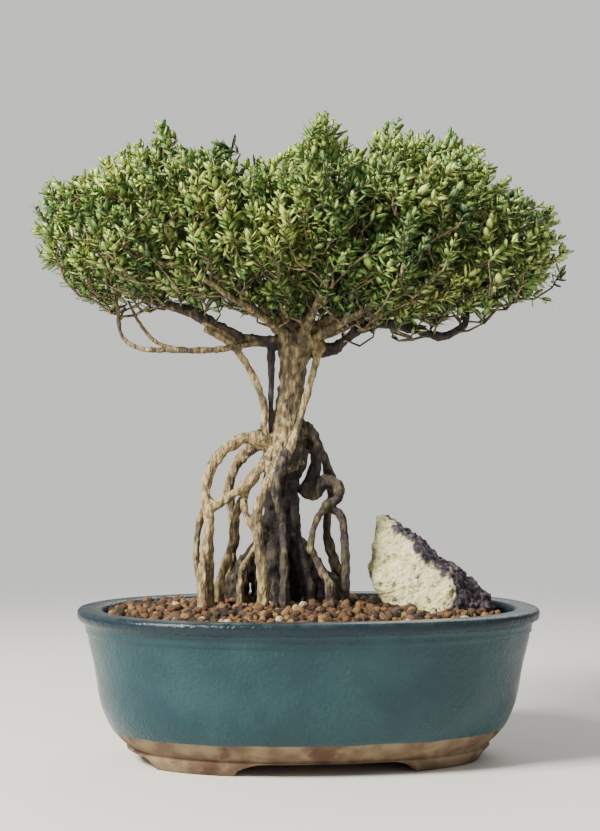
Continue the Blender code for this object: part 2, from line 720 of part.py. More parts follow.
def leaf_tree(root, edges, tip):
    """A search tree over a leaf's blade, a little larger than the leaf."""
    middle = sum(edges, Vector()) / 3
    wide = [middle + (spot - middle) * LEAF_TEST_SIZE for spot in edges]
    stalk = [root + (spot - middle).normalized() * STALK_RADIUS for spot in edges]
    far = middle + (tip - middle) * LEAF_TEST_SIZE
    faces = [(0, 1, 4, 3), (1, 2, 5, 4), (2, 0, 3, 5), (3, 4, 6), (4, 5, 6), (5, 3, 6)]
    return BVHTree.FromPolygons([*stalk, *wide, far], faces)


def stretch_face(shape, face, places, way):
    """Extrudes a three-sided face and moves its corners to these places, with the least twist."""
    top = bmesh.ops.extrude_discrete_faces(shape, faces=[face])["faces"][0]
    middle = top.calc_center_median()
    target = sum(places, Vector()) / 3
    zero = (places[0] - target).normalized()
    ninety = way.cross(zero).normalized()

    def angle(offset):
        return math.atan2(offset.dot(ninety), offset.dot(zero)) % math.tau

    corners = sorted(top.verts, key=lambda vert: angle(vert.co - middle))
    places = sorted(places, key=lambda spot: angle(spot - target))

    def twist(shift):
        pairs = zip(corners, places[shift:] + places[:shift])
        return -sum(math.cos(angle(vert.co - middle) - angle(spot - target)) for vert, spot in pairs)

    shift = min(range(3), key=twist)
    for vert, spot in zip(corners, places[shift:] + places[:shift]):
        vert.co = spot
    return top


def grow_leaf(shape, face, centre, outward, blockers, draw):
    """Raises one leaf from a face of the core, if there is room for it."""
    root = face.calc_center_median()
    radial = (root - centre).normalized()
    ahead = outward - radial * outward.dot(radial)
    ahead = ahead.normalized() if ahead.length > 0.1 else radial.orthogonal().normalized()
    for size in (draw.uniform(*LEAF_SIZES), *SMALL_LEAVES):
        lean = math.radians(draw.uniform(*LEAF_LEAN))
        way = (radial * math.cos(lean) + ahead * math.sin(lean)).normalized()
        up = ahead * math.cos(lean) - radial * math.sin(lean)
        up = -up if up.z < LEAF_FLIP else up
        edges, tip = leaf_shape(root, way, up, size)
        blade = leaf_tree(root, edges, tip)
        if any(blade.overlap(other) for other in blockers):
            continue
        blockers.append(blade)
        bmesh.ops.inset_individual(shape, faces=[face], thickness=STALK_INSET * face.calc_perimeter())
        top = stretch_face(shape, face, edges, way)
        point = bmesh.ops.poke(shape, faces=[top])["verts"][0]
        point.co = tip
        return


def core_shape(centre, outward, size):
    """The dense heart of a spray: a lumpy ball, flattened along the shoot."""
    core = bmesh.new()
    bmesh.ops.create_icosphere(core, subdivisions=1, radius=CORE_RADIUS * size)
    for vert in core.verts:
        vert.co -= outward * vert.co.dot(outward) * (1 - CORE_FLATNESS)
        vert.co *= 1 + CORE_LUMPS * noise.noise(vert.co / CORE_LUMP_SPACING + centre)
        vert.co += centre
    return core


def start_spray(foot, outward, neighbours):
    """The heart of a spray and the short stem that joins it to the end of its twig."""
    centre = foot + outward * CORE_RADIUS
    around = outward.orthogonal().normalized() * STEM_RADIUS
    ring = [foot + Matrix.Rotation(math.tau * step / 3, 3, outward) @ around for step in range(3)]
    for size in CORE_SIZES:
        core = core_shape(centre, outward, size)
        stalk = min(core.faces, key=lambda face: (face.calc_center_median() - centre).dot(outward))
        bmesh.ops.inset_individual(core, faces=[stalk], thickness=STALK_INSET * stalk.calc_perimeter())
        stretch_face(core, stalk, ring, -outward)
        if not any(BVHTree.FromBMesh(core).overlap(other) for other in neighbours):
            break
    return core, centre


def build_sprays(twigs, tree, draw):
    """Leafy sprays: all their hearts first, and then leaves raised from the faces of each heart."""
    wood = tree_of(tree.data)
    hearts = []
    for points, outward in twigs:
        outward = turned(*outward)
        foot = turned(*points[-1][:3]) + outward * FIT_GAP
        neighbours = [wood] + [BVHTree.FromBMesh(core) for core, _, _ in hearts]
        core, centre = start_spray(foot, outward, neighbours)
        hearts.append((core, centre, outward))
    blades = []
    heart_trees = [BVHTree.FromBMesh(core) for core, _, _ in hearts]
    for number, (core, centre, outward) in enumerate(hearts):
        blockers = [wood] + heart_trees[:number] + heart_trees[number + 1 :] + blades
        rise = {face: (face.calc_center_median() - centre).dot(outward) for face in core.faces}
        faces = [face for face in core.faces if rise[face] > LOWEST_LEAF]
        faces.sort(key=lambda face: -rise[face])
        kept = len(blockers)
        for face in faces[:LEAVES_PER_SPRAY]:
            grow_leaf(core, face, centre, outward, blockers, draw)
        blades += blockers[kept:]
        bmesh.ops.recalc_face_normals(core, faces=core.faces)
        shade = draw.uniform(*LEAF_SHADES)
        name = f"spray_{number + 1:02d}"
        green = make_material(name, (0.12 * shade, 0.2 * shade, 0.04 * shade), 0.55)
        add_object(name, mesh_from(core, name), green)


def set_origin():
    """Moves everything so that the origin is the bottom centre of the whole object's box."""
    bpy.context.view_layer.update()
    shown = [thing for thing in bpy.data.objects if not thing.hide_render]
    corners = [thing.matrix_world @ Vector(corner) for thing in shown for corner in thing.bound_box]
    middle_x = (min(c.x for c in corners) + max(c.x for c in corners)) / 2
    middle_y = (min(c.y for c in corners) + max(c.y for c in corners)) / 2
    for thing in bpy.data.objects:
        thing.location -= Vector((middle_x, middle_y, 0))


def build():
    """Builds every piece. The wood is grown before the soil, which gets a hole for each root."""
    clear_scene()
    draw = random.Random(GROWTH_SEED)
    build_pot()
    build_drain_meshes()
    build_stone()
    twigs = [grow_twig(centre) for centre in spray_centres(draw)]
    tree, feet = build_tree(twigs)
    build_soil(feet)
    build_sprays(twigs, tree, draw)
    set_origin()


build()
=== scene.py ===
"""A serissa bonsai with exposed roots, in an oval glazed pot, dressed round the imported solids.

Named sizes are in millimetres, and the meshes are in metres. Sizes of the floor and the lights, and
the places where the leaves are parted, are in metres too.
"""

import math

import bmesh
import bpy
import numpy as np
from mathutils import Matrix, Vector, kdtree, noise


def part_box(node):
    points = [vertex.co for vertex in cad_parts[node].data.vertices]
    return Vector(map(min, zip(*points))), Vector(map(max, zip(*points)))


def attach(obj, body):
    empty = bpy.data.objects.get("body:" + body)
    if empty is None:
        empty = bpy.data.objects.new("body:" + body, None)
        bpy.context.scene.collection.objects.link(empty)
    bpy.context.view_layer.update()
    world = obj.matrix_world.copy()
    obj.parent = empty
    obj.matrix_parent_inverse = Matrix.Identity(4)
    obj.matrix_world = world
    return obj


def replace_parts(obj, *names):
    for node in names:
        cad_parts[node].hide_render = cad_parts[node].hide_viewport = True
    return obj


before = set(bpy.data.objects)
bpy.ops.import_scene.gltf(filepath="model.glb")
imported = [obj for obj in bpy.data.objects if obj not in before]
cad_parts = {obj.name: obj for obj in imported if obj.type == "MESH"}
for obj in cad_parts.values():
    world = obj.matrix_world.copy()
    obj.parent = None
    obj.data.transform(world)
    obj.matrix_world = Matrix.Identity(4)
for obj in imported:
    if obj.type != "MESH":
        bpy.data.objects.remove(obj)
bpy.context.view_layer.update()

# Standpoint and room
# The tree is looked at from its own front, which is turned a little from the pot's long side.
# A long lens at the height of the trunk, a pale floor and soft light from the upper left.
MM = 0.001
FRONT_TURN = math.radians(-8.9)
EYE_DISTANCE = 830.0
EYE_HEIGHT = 147.7
EYE_ASIDE = -4.3
EYE_TILT = math.radians(90.14)
EYE_ROLL = math.radians(0.16)
LENS = 81.6
NEAREST_SEEN = 0.05
LIGHT_AIM = (0, 0, 150)
ROOM_COLOUR = (0.86, 0.87, 0.88, 1.0)
ROOM_STRENGTH = 0.36
BACKDROP_COLOUR = (0.80, 0.80, 0.78, 1.0)
PAPER_COLOUR = (0.78, 0.77, 0.73, 1.0)
PAPER_ROUGHNESS = 0.85
FLOOR_RADIUS = 4.0
FLOOR_SIDES = 96
FLOOR_FADE = (0.3, 0.95)

pot_low, pot_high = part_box("pot")
pot_middle = Vector(((pot_low.x + pot_high.x) / 2, (pot_low.y + pot_high.y) / 2, 0.0))
turn_to_front = Matrix.Rotation(FRONT_TURN, 3, "Z")


def placed(x, y, z):
    """A point of the tree's front view, in millimetres from the pot's middle, as a place in metres."""
    return turn_to_front @ Vector((x, y, z)) * MM + pot_middle


eye = bpy.data.cameras.new("eye")
eye.lens = LENS
eye.clip_start = NEAREST_SEEN
eye_object = bpy.data.objects.new("eye", eye)
bpy.context.scene.collection.objects.link(eye_object)
eye_turn = turn_to_front.to_4x4() @ Matrix.Rotation(EYE_TILT, 4, "X") @ Matrix.Rotation(EYE_ROLL, 4, "Z")
eye_object.matrix_world = Matrix.Translation(placed(EYE_ASIDE, -EYE_DISTANCE, EYE_HEIGHT)) @ eye_turn
bpy.context.scene.camera = eye_object


def soft_light(name, spot, size, watts, colour):
    """A square soft box that faces the middle of the tree."""
    lamp = bpy.data.lights.new(name, "AREA")
    lamp.size = size
    lamp.energy = watts
    lamp.color = colour
    thing = bpy.data.objects.new(name, lamp)
    bpy.context.scene.collection.objects.link(thing)
    thing.location = placed(*spot)
    thing.rotation_euler = (placed(*LIGHT_AIM) - thing.location).to_track_quat("-Z", "Y").to_euler()


soft_light("key", (-900, -700, 950), 0.4, 58.0, (1.0, 0.96, 0.88))
soft_light("fill", (1000, -900, 450), 1.4, 3.0, (0.93, 0.96, 1.0))
soft_light("rim", (300, 1000, 900), 1.0, 8.0, (1.0, 0.97, 0.92))

# The room lights the tree, and the camera sees the plain backdrop in its place.
room = bpy.data.worlds.new("room")
bpy.context.scene.world = room
room.use_nodes = True
room_tree = room.node_tree
room_light = room_tree.nodes["Background"]
room_light.inputs["Color"].default_value = ROOM_COLOUR
room_light.inputs["Strength"].default_value = ROOM_STRENGTH
backdrop = room_tree.nodes.new("ShaderNodeBackground")
backdrop.inputs["Color"].default_value = BACKDROP_COLOUR
rays = room_tree.nodes.new("ShaderNodeLightPath")
seen = room_tree.nodes.new("ShaderNodeMixShader")
room_tree.links.new(rays.outputs["Is Camera Ray"], seen.inputs["Fac"])
room_tree.links.new(room_light.outputs["Background"], seen.inputs[1])
room_tree.links.new(backdrop.outputs["Background"], seen.inputs[2])
room_tree.links.new(seen.outputs["Shader"], room_tree.nodes["World Output"].inputs["Surface"])


def new_material(name, roughness):
    """A material and its Principled shader."""
    material = bpy.data.materials.new(name)
    material.use_nodes = True
    shader = material.node_tree.nodes["Principled BSDF"]
    shader.inputs["Roughness"].default_value = roughness
    return material, shader


def add_node(tree, kind, **settings):
    """Adds a node with these settings."""
    node = tree.nodes.new(kind)
    for name, value in settings.items():
        setattr(node, name, value)
    return node


def new_object(name, mesh, material=None):
    """Links a mesh to the scene as an object at the origin."""
    thing = bpy.data.objects.new(name, mesh)
    bpy.context.scene.collection.objects.link(thing)
    if material:
        mesh.materials.clear()
        mesh.materials.append(material)
    return thing


def mesh_from(shape, name):
    """Turns a bmesh into a mesh."""
    mesh = bpy.data.meshes.new(name)
    shape.to_mesh(mesh)
    shape.free()
    return mesh


# The floor is one sheet of paper that melts into the backdrop further out.
floor_shape = bmesh.new()
bmesh.ops.create_circle(floor_shape, cap_ends=True, segments=FLOOR_SIDES, radius=FLOOR_RADIUS)
paper, paper_shader = new_material("floor_paper", PAPER_ROUGHNESS)
paper_shader.inputs["Base Color"].default_value = PAPER_COLOUR
paper_tree = paper.node_tree
far = add_node(paper_tree, "ShaderNodeVectorMath", operation="LENGTH")
paper_tree.links.new(add_node(paper_tree, "ShaderNodeTexCoord").outputs["Object"], far.inputs[0])
fade = add_node(paper_tree, "ShaderNodeMapRange", interpolation_type="SMOOTHSTEP")
paper_tree.links.new(far.outputs["Value"], fade.inputs["Value"])
fade.inputs["From Min"].default_value, fade.inputs["From Max"].default_value = FLOOR_FADE
glow = add_node(paper_tree, "ShaderNodeEmission")
glow.inputs["Color"].default_value = BACKDROP_COLOUR
melt = add_node(paper_tree, "ShaderNodeMixShader")
paper_tree.links.new(fade.outputs["Result"], melt.inputs["Fac"])
paper_tree.links.new(paper_shader.outputs["BSDF"], melt.inputs[1])
paper_tree.links.new(glow.outputs["Emission"], melt.inputs[2])
paper_tree.links.new(melt.outputs["Shader"], paper_tree.nodes["Material Output"].inputs["Surface"])
new_object("floor", mesh_from(floor_shape, "floor"), paper)


# Pot
# A press-moulded stoneware pot, blue-green mottled glaze over brown clay. The lip is rolled and
# breaks dark, the glaze stops above the foot, and the foot ring is cut into four cloud feet.
POT_LENGTH = 203.0
POT_DEPTH = 148.0
POT_POWER = 2.25
POT_STEPS = 300
FOOT_GAP = 5.5
FOOT_RING_INSET = 35.0
LONG_GAP = (26.0, 38.5)
SHORT_GAP = (14.0, 24.0)
GAP_POWER = 0.45
GAP_SLACK = 0.1
FLAT_FLOOR = 36.0
# The wall is a little uneven, as one pressed by hand.
HAND_SPACING = 28.0
HAND_DEPTH = 0.25
HAND_RADIUS = 80.0
DRAIN_RADIUS = 8.0
DRAIN_SPACING = 76.0
DRILL_LENGTH = 30.0
DRILL_MIDDLE = 10.0
DRILL_SIDES = 48
# The wall's outline, as (inset from the rim, height): the underside, the foot, the side, the lip
# and the inside down to the middle of the floor.
POT_OUTLINE = [
    (74.0, 6.0), (36.0, 6.0), (34.0, 5.2), (33.4, 0.6), (32.6, 0.0), (25.2, 0.0), (24.2, 0.8), (22.8, 3.2),
    (21.6, 5.0), (21.8, 5.8), (22.9, 6.2), (22.4, 6.9), (20.6, 8.2), (18.2, 10.4), (16.4, 12.6),
    (15.7, 13.5), (15.1, 13.9), (14.7, 14.5), (13.4, 16.8), (11.9, 20.0), (10.2, 24.6), (9.0, 30.0),
    (8.1, 36.0), (7.1, 42.0), (5.8, 47.4), (4.8, 51.6), (4.3, 54.9), (4.1, 55.5), (3.5, 55.9), (3.4, 57.4),
    (3.3, 58.6), (2.8, 59.7), (1.4, 60.8), (0.5, 61.3), (0.1, 62.2), (0.0, 63.6), (0.2, 64.8), (0.9, 65.5),
    (2.2, 65.8), (6.0, 65.8), (9.2, 65.7), (10.4, 65.3), (10.9, 64.5), (11.1, 62.0), (12.2, 50.0),
    (15.2, 34.0), (20.4, 21.0), (30.0, 13.5), (74.0, 13.5),
]
# Heights on the wall: where the glaze ends, where it darkens at the lip and where the edge is worn.
GLAZE_END = 13.9
GLAZE_FADE = (0.8, 0.2)
GLAZE_WAVE = 0.6
GLAZE_DEEP = (0.010, 0.041, 0.052)
GLAZE_PALE = (0.017, 0.058, 0.067)
GLAZE_FLECK = (0.026, 0.074, 0.082)
GLAZE_PINHOLE = (0.010, 0.032, 0.042)
LIP_BREAK = (60.2, 62.4)
LIP_DARK = (0.008, 0.020, 0.028)
LIP_EDGE = (64.0, 66.4)
LIP_WORN = (0.06, 0.085, 0.085)
CLAY_BROWN = (0.125, 0.078, 0.043)
CLAY_PALE = (0.235, 0.17, 0.10)
CLAY_STAIN = (0.09, 0.045, 0.026)


def mottle_group():
    """A group of nodes that every finish uses: noise cut between two levels, as a mask."""
    group = bpy.data.node_groups.new("mottle", "ShaderNodeTree")
    for name, kind, value in (
        ("Vector", "NodeSocketVector", None),
        ("Scale", "NodeSocketFloat", 100.0),
        ("Detail", "NodeSocketFloat", 3.0),
        ("Low", "NodeSocketFloat", 0.4),
        ("High", "NodeSocketFloat", 0.6),
    ):
        socket = group.interface.new_socket(name, in_out="INPUT", socket_type=kind)
        if value is not None:
            socket.default_value = value
    group.interface.new_socket("Mask", in_out="OUTPUT", socket_type="NodeSocketFloat")
    start = group.nodes.new("NodeGroupInput")
    end = group.nodes.new("NodeGroupOutput")
    cloud = group.nodes.new("ShaderNodeTexNoise")
    cut = group.nodes.new("ShaderNodeMapRange")
    cut.interpolation_type = "SMOOTHSTEP"
    join = group.links.new
    join(start.outputs["Vector"], cloud.inputs["Vector"])
    join(start.outputs["Scale"], cloud.inputs["Scale"])
    join(start.outputs["Detail"], cloud.inputs["Detail"])
    join(cloud.outputs["Fac"], cut.inputs["Value"])
    join(start.outputs["Low"], cut.inputs["From Min"])
    join(start.outputs["High"], cut.inputs["From Max"])
    join(cut.outputs["Result"], end.inputs["Mask"])
    return group


mottle = mottle_group()


def place_of(tree):
    """The place on the piece, from its own coordinates."""
    return add_node(tree, "ShaderNodeTexCoord").outputs["Object"]


def mask_of(tree, place, scale, low, high, detail=3.0):
    """A mottled mask of this many patches a metre, from 0 at the low level to 1 at the high one."""
    node = tree.nodes.new("ShaderNodeGroup")
    node.node_tree = mottle
    tree.links.new(place, node.inputs["Vector"])
    for name, value in (("Scale", scale), ("Low", low), ("High", high), ("Detail", detail)):
        node.inputs[name].default_value = value
    return node.outputs["Mask"]


def mix_colours(tree, mask, first, second):
    """Mixes two colours or colour outputs by a mask."""
    node = add_node(tree, "ShaderNodeMix", data_type="RGBA")
    tree.links.new(mask, node.inputs["Factor"])
    for slot, colour in ((node.inputs["A"], first), (node.inputs["B"], second)):
        if isinstance(colour, tuple):
            slot.default_value = (*colour, 1.0)
        else:
            tree.links.new(colour, slot)
    return node.outputs["Result"]


def step_of(tree, value, low, high):
    """A smooth step from 0 at low to 1 at high."""
    node = add_node(tree, "ShaderNodeMapRange", interpolation_type="SMOOTHSTEP")
    tree.links.new(value, node.inputs["Value"])
    node.inputs["From Min"].default_value = low
    node.inputs["From Max"].default_value = high
    return node.outputs["Result"]


def maths(tree, operation, first, second):
    """A Math node on two values, of which the second may be a plain number."""
    node = add_node(tree, "ShaderNodeMath", operation=operation)
    tree.links.new(first, node.inputs[0])
    if isinstance(second, (int, float)):
        node.inputs[1].default_value = second
    else:
        tree.links.new(second, node.inputs[1])
    return node.outputs[0]


def sum_of(tree, first, second):
    """Two values added up."""
    return maths(tree, "ADD", first, second)


def product_of(tree, first, second):
    """Two values multiplied."""
    return maths(tree, "MULTIPLY", first, second)


def bump_of(tree, height, distance, strength=1.0):
    """A bump from a height, this deep in metres."""
    node = tree.nodes.new("ShaderNodeBump")
    node.inputs["Distance"].default_value = distance
    node.inputs["Strength"].default_value = strength
    tree.links.new(height, node.inputs["Height"])
    return node.outputs["Normal"]


def baked(thing):
    """The mesh of an object with its modifiers applied. The object itself goes."""
    view = bpy.context.evaluated_depsgraph_get()
    mesh = bpy.data.meshes.new_from_object(thing.evaluated_get(view))
    bpy.data.objects.remove(thing, do_unlink=True)
    return mesh


def oval(direction, inset):
    """A point of the pot's rounded oval in this direction, this far inside its rim, in millimetres."""
    across, deep = math.cos(direction), math.sin(direction)
    radius = POT_DEPTH / 2 - inset
    reach = radius + (POT_LENGTH - POT_DEPTH) / 2 * min(1.0, radius / FLAT_FLOOR)
    x = math.copysign(abs(across) ** (2 / POT_POWER), across) * reach
    y = math.copysign(abs(deep) ** (2 / POT_POWER), deep) * radius
    return x, y


def foot_lift(x, y):
    """How high the foot ring is cut away here, in millimetres."""
    front = 1 - min(1.0, max(0.0, (abs(x) - LONG_GAP[0]) / (LONG_GAP[1] - LONG_GAP[0])))
    side = 1 - min(1.0, max(0.0, (abs(y) - SHORT_GAP[0]) / (SHORT_GAP[1] - SHORT_GAP[0])))
    share = max(front, side)
    return FOOT_GAP * share ** GAP_POWER


def pot_mesh():
    """Spins the outline of the wall and draws the round form out to the oval."""
    shape = bmesh.new()
    outline = [((POT_DEPTH / 2 - inset) * MM, 0, height * MM) for inset, height in POT_OUTLINE]
    corners = [shape.verts.new(point) for point in outline]
    edges = [shape.edges.new(pair) for pair in zip(corners, corners[1:])]
    bmesh.ops.spin(
        shape, geom=corners + edges, cent=(0, 0, 0), axis=(0, 0, 1), angle=math.tau,
        steps=POT_STEPS, use_merge=True,
    )
    bmesh.ops.remove_doubles(shape, verts=shape.verts, dist=0.00001)
    for vert in shape.verts:
        inset = POT_DEPTH / 2 - math.hypot(vert.co.x, vert.co.y) / MM
        x, y = oval(math.atan2(vert.co.y, vert.co.x), inset)
        height = vert.co.z / MM
        if inset < FOOT_RING_INSET and height < FOOT_GAP:
            lift = foot_lift(x, y)
            height = lift + height * (1 - lift / (FOOT_GAP + GAP_SLACK))
        hand = noise.noise(Vector((x, y, height)) / HAND_SPACING) * HAND_DEPTH
        flat = Vector((x, y, 0)) * (1 + hand / HAND_RADIUS)
        vert.co = (flat + Vector((0, 0, height))) * MM + pot_middle
    bmesh.ops.recalc_face_normals(shape, faces=shape.faces)
    for face in shape.faces:
        face.smooth = True
    return mesh_from(shape, "pot_glazed")


def pot_material():
    """Mottled glaze, a dark breaking lip and the bare clay of the foot."""
    material, shader = new_material("pot_glaze", 0.3)
    shader.inputs["Specular IOR Level"].default_value = 0.3
    tree = material.node_tree
    place = place_of(tree)
    height = add_node(tree, "ShaderNodeSeparateXYZ")
    tree.links.new(place, height.inputs[0])
    drift = mask_of(tree, place, 55.0, 0.3, 0.7, 6.0)
    wave = sum_of(tree, product_of(tree, drift, GLAZE_WAVE * MM), height.outputs["Z"])
    clouds = mask_of(tree, place, 38.0, 0.36, 0.66, 6.0)
    glaze = mix_colours(tree, clouds, GLAZE_DEEP, GLAZE_PALE)
    flecks = mask_of(tree, place, 420.0, 0.60, 0.80, 4.0)
    glaze = mix_colours(tree, flecks, glaze, GLAZE_FLECK)
    pinholes = mask_of(tree, place, 900.0, 0.62, 0.72, 2.0)
    glaze = mix_colours(tree, pinholes, glaze, GLAZE_PINHOLE)
    lip = step_of(tree, wave, LIP_BREAK[0] * MM, LIP_BREAK[1] * MM)
    glaze = mix_colours(tree, lip, glaze, LIP_DARK)
    edge = step_of(tree, wave, LIP_EDGE[0] * MM, LIP_EDGE[1] * MM)
    worn = product_of(tree, edge, mask_of(tree, place, 160.0, 0.38, 0.62, 5.0))
    glaze = mix_colours(tree, product_of(tree, worn, 0.45), glaze, LIP_WORN)
    patches = mask_of(tree, place, 90.0, 0.35, 0.62, 6.0)
    clay = mix_colours(tree, patches, CLAY_BROWN, CLAY_PALE)
    clay = mix_colours(tree, mask_of(tree, place, 60.0, 0.55, 0.7, 4.0), clay, CLAY_STAIN)
    bare = step_of(tree, wave, (GLAZE_END + GLAZE_FADE[0]) * MM, (GLAZE_END + GLAZE_FADE[1]) * MM)
    tree.links.new(mix_colours(tree, bare, glaze, clay), shader.inputs["Base Color"])
    rough = sum_of(tree, product_of(tree, bare, 0.5), product_of(tree, drift, 0.14))
    tree.links.new(sum_of(tree, rough, 0.2), shader.inputs["Roughness"])
    fine_grain = mask_of(tree, place, 650.0, 0.3, 0.7, 4.0)
    grain = sum_of(tree, fine_grain, mask_of(tree, place, 130.0, 0.3, 0.7))
    tree.links.new(bump_of(tree, grain, 0.00022, 0.6), shader.inputs["Normal"])
    return material


pot = new_object("pot_glazed", pot_mesh(), pot_material())
for side in (-1, 1):
    drill_shape = bmesh.new()
    drill_spot = Vector((side * DRAIN_SPACING / 2 * MM, 0, DRILL_MIDDLE * MM))
    bmesh.ops.create_cone(
        drill_shape, cap_ends=True, segments=DRILL_SIDES, depth=DRILL_LENGTH * MM,
        radius1=DRAIN_RADIUS * MM, radius2=DRAIN_RADIUS * MM,
        matrix=Matrix.Translation(pot_middle + drill_spot),
    )
    drill = new_object("drill", mesh_from(drill_shape, "drill"))
    hole = pot.modifiers.new("drain_hole", "BOOLEAN")
    hole.object = drill
    holed = baked(pot)
    bpy.data.objects.remove(drill, do_unlink=True)
    pot = new_object("pot_glazed", holed)
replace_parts(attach(pot, "root"), "pot")


# Drain meshes
# Squares of black plastic mesh that lie on the pot's floor over the drain holes.
PLASTIC_BLACK = (0.012, 0.012, 0.013)
PLASTIC_DUST = (0.09, 0.06, 0.04)


def plastic_material():
    """Dull black plastic with soil dust on it."""
    material, shader = new_material("drain_plastic", 0.55)
    tree = material.node_tree
    dust = mask_of(tree, place_of(tree), 260.0, 0.45, 0.75, 5.0)
    tree.links.new(mix_colours(tree, dust, PLASTIC_BLACK, PLASTIC_DUST), shader.inputs["Base Color"])
    tree.links.new(sum_of(tree, product_of(tree, dust, 0.35), 0.45), shader.inputs["Roughness"])
    tree.links.new(bump_of(tree, dust, 0.0001), shader.inputs["Normal"])
    return material


black_plastic = plastic_material()
for name in ("drain_mesh_left", "drain_mesh_right"):
    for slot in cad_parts[name].material_slots:
        slot.material = black_plastic


# Soil
# Granules of baked clay and pumice, two to five millimetres across, mounded a little at the tree.
# Most are tan and brown, some pinkish or dark, and a few nearly white.
SOIL_EDGE = 60.0
SOIL_MOUND = 7.0
SOIL_GRAIN_SCALE = 0.34
SOIL_GRAIN_HEIGHT = 2.6
SOIL_SEAT = 63.05
SOIL_INSET = 12.6
SOIL_WALL = [(29.5, 13.9), (20.9, 21.0), (15.7, 34.0), (12.7, 50.0), (SOIL_INSET, 58.0)]
TREE_FOOT = turn_to_front @ Vector((-12.0, 0.0, 0.0))
STONE_FOOT = turn_to_front @ Vector((56.0, 17.0, 0.0))
STONE_SEAT_HALF = (35.0, 27.0)
BED_RINGS = 44
BED_STEPS = 144
BED_DEPTH = 0.8
SOIL_SEED = 5
GRANULE_COUNT = 1650
GRANULE_KINDS = 10
GRANULE_RADII = (1.0, 1.6, 2.5)
GRANULE_MARGIN = 2.0
GRANULE_RISE = (-0.5, 0.45)
GRANULE_STRETCH = (0.75, 1.2)
BIG_LUMP_SCALE = 0.9
BIG_LUMP_HEIGHT = 0.55
BIG_LUMP_SHIFT = 7.3
SMALL_LUMP_SCALE = 2.2
SMALL_LUMP_HEIGHT = 0.22
SMALL_LUMP_SHIFT = 5.1
# Shades of the granules, as (share of the granules at which the shade starts, colour).
SOIL_SHADES = [
    (0.0, (0.022, 0.014, 0.009)), (0.22, (0.070, 0.034, 0.014)), (0.40, (0.14, 0.068, 0.024)),
    (0.55, (0.21, 0.11, 0.038)), (0.69, (0.11, 0.055, 0.032)), (0.81, (0.29, 0.165, 0.062)),
    (0.92, (0.21, 0.105, 0.065)), (0.98, (0.55, 0.45, 0.32)),
]
SOIL_SHADOW = (0.05, 0.03, 0.02)
SOIL_DUST = (0.42, 0.29, 0.16)


def soil_height(x, y):
    """Height of the soil in millimetres, at a place on the pot's own axes."""
    spread = ((x - TREE_FOOT.x) / (POT_LENGTH / 2)) ** 2 + ((y - TREE_FOOT.y) / (POT_DEPTH / 2)) ** 2
    grain = noise.noise(Vector((x, y, 0)) * SOIL_GRAIN_SCALE) * SOIL_GRAIN_HEIGHT
    height = SOIL_EDGE + SOIL_MOUND * max(0.0, 1 - spread) + grain
    seat = ((x - STONE_FOOT.x) / STONE_SEAT_HALF[0]) ** 2 + ((y - STONE_FOOT.y) / STONE_SEAT_HALF[1]) ** 2
    return min(height, SOIL_SEAT) if seat < 1 else height


def soil_mesh():
    """The bed: a wall inside the pot, closed below, with a lumpy top."""
    rings = []
    for inset, height in SOIL_WALL:
        rings.append([(*oval(math.tau * step / BED_STEPS, inset), height) for step in range(BED_STEPS)])
    for ring in range(BED_RINGS):
        share = 1 - ring / BED_RINGS
        flat = [oval(math.tau * step / BED_STEPS, SOIL_INSET) for step in range(BED_STEPS)]
        rings.append([(x * share, y * share, soil_height(x * share, y * share) - BED_DEPTH) for x, y in flat])
    shape = bmesh.new()
    loops = [[shape.verts.new(Vector(point) * MM + pot_middle) for point in ring] for ring in rings]
    for low, high in zip(loops, loops[1:]):
        for step in range(BED_STEPS):
            after = (step + 1) % BED_STEPS
            shape.faces.new((low[step], low[after], high[after], high[step]))
    shape.faces.new(loops[0])
    bmesh.ops.poke(shape, faces=[shape.faces.new(loops[-1])])
    bmesh.ops.recalc_face_normals(shape, faces=shape.faces)
    return mesh_from(shape, "soil_bed")


def random_turns(draw, count):
    """Random rotation matrices."""
    first = draw.normal(0, 1, (count, 3))
    first /= np.linalg.norm(first, axis=1, keepdims=True)
    second = np.cross(first, draw.normal(0, 1, (count, 3)))
    second /= np.linalg.norm(second, axis=1, keepdims=True)
    return np.stack((first, second, np.cross(first, second)), axis=2)


def copied_mesh(name, parts):
    """Copies of small shapes. Each part is points, faces, frames, spots and its named values."""
    points, faces, values, known = [], [], {}, 0
    for shape_points, shape_faces, frames, spots, named in parts:
        moved = np.einsum("nij,kj->nki", frames, shape_points) + spots[:, None, :]
        starts = known + np.arange(len(spots)) * len(shape_points)
        points.append(moved.reshape(-1, 3))
        faces.append((shape_faces[None] + starts[:, None, None]).reshape(-1, 3))
        known += len(spots) * len(shape_points)
        for label, numbers in named.items():
            values.setdefault(label, []).append(numbers)
    mesh = bpy.data.meshes.new(name)
    mesh.from_pydata(np.concatenate(points), [], np.concatenate(faces))
    for label, numbers in values.items():
        mesh.attributes.new(label, "FLOAT", "POINT").data.foreach_set("value", np.concatenate(numbers))
    mesh.polygons.foreach_set("use_smooth", [True] * len(mesh.polygons))
    return mesh


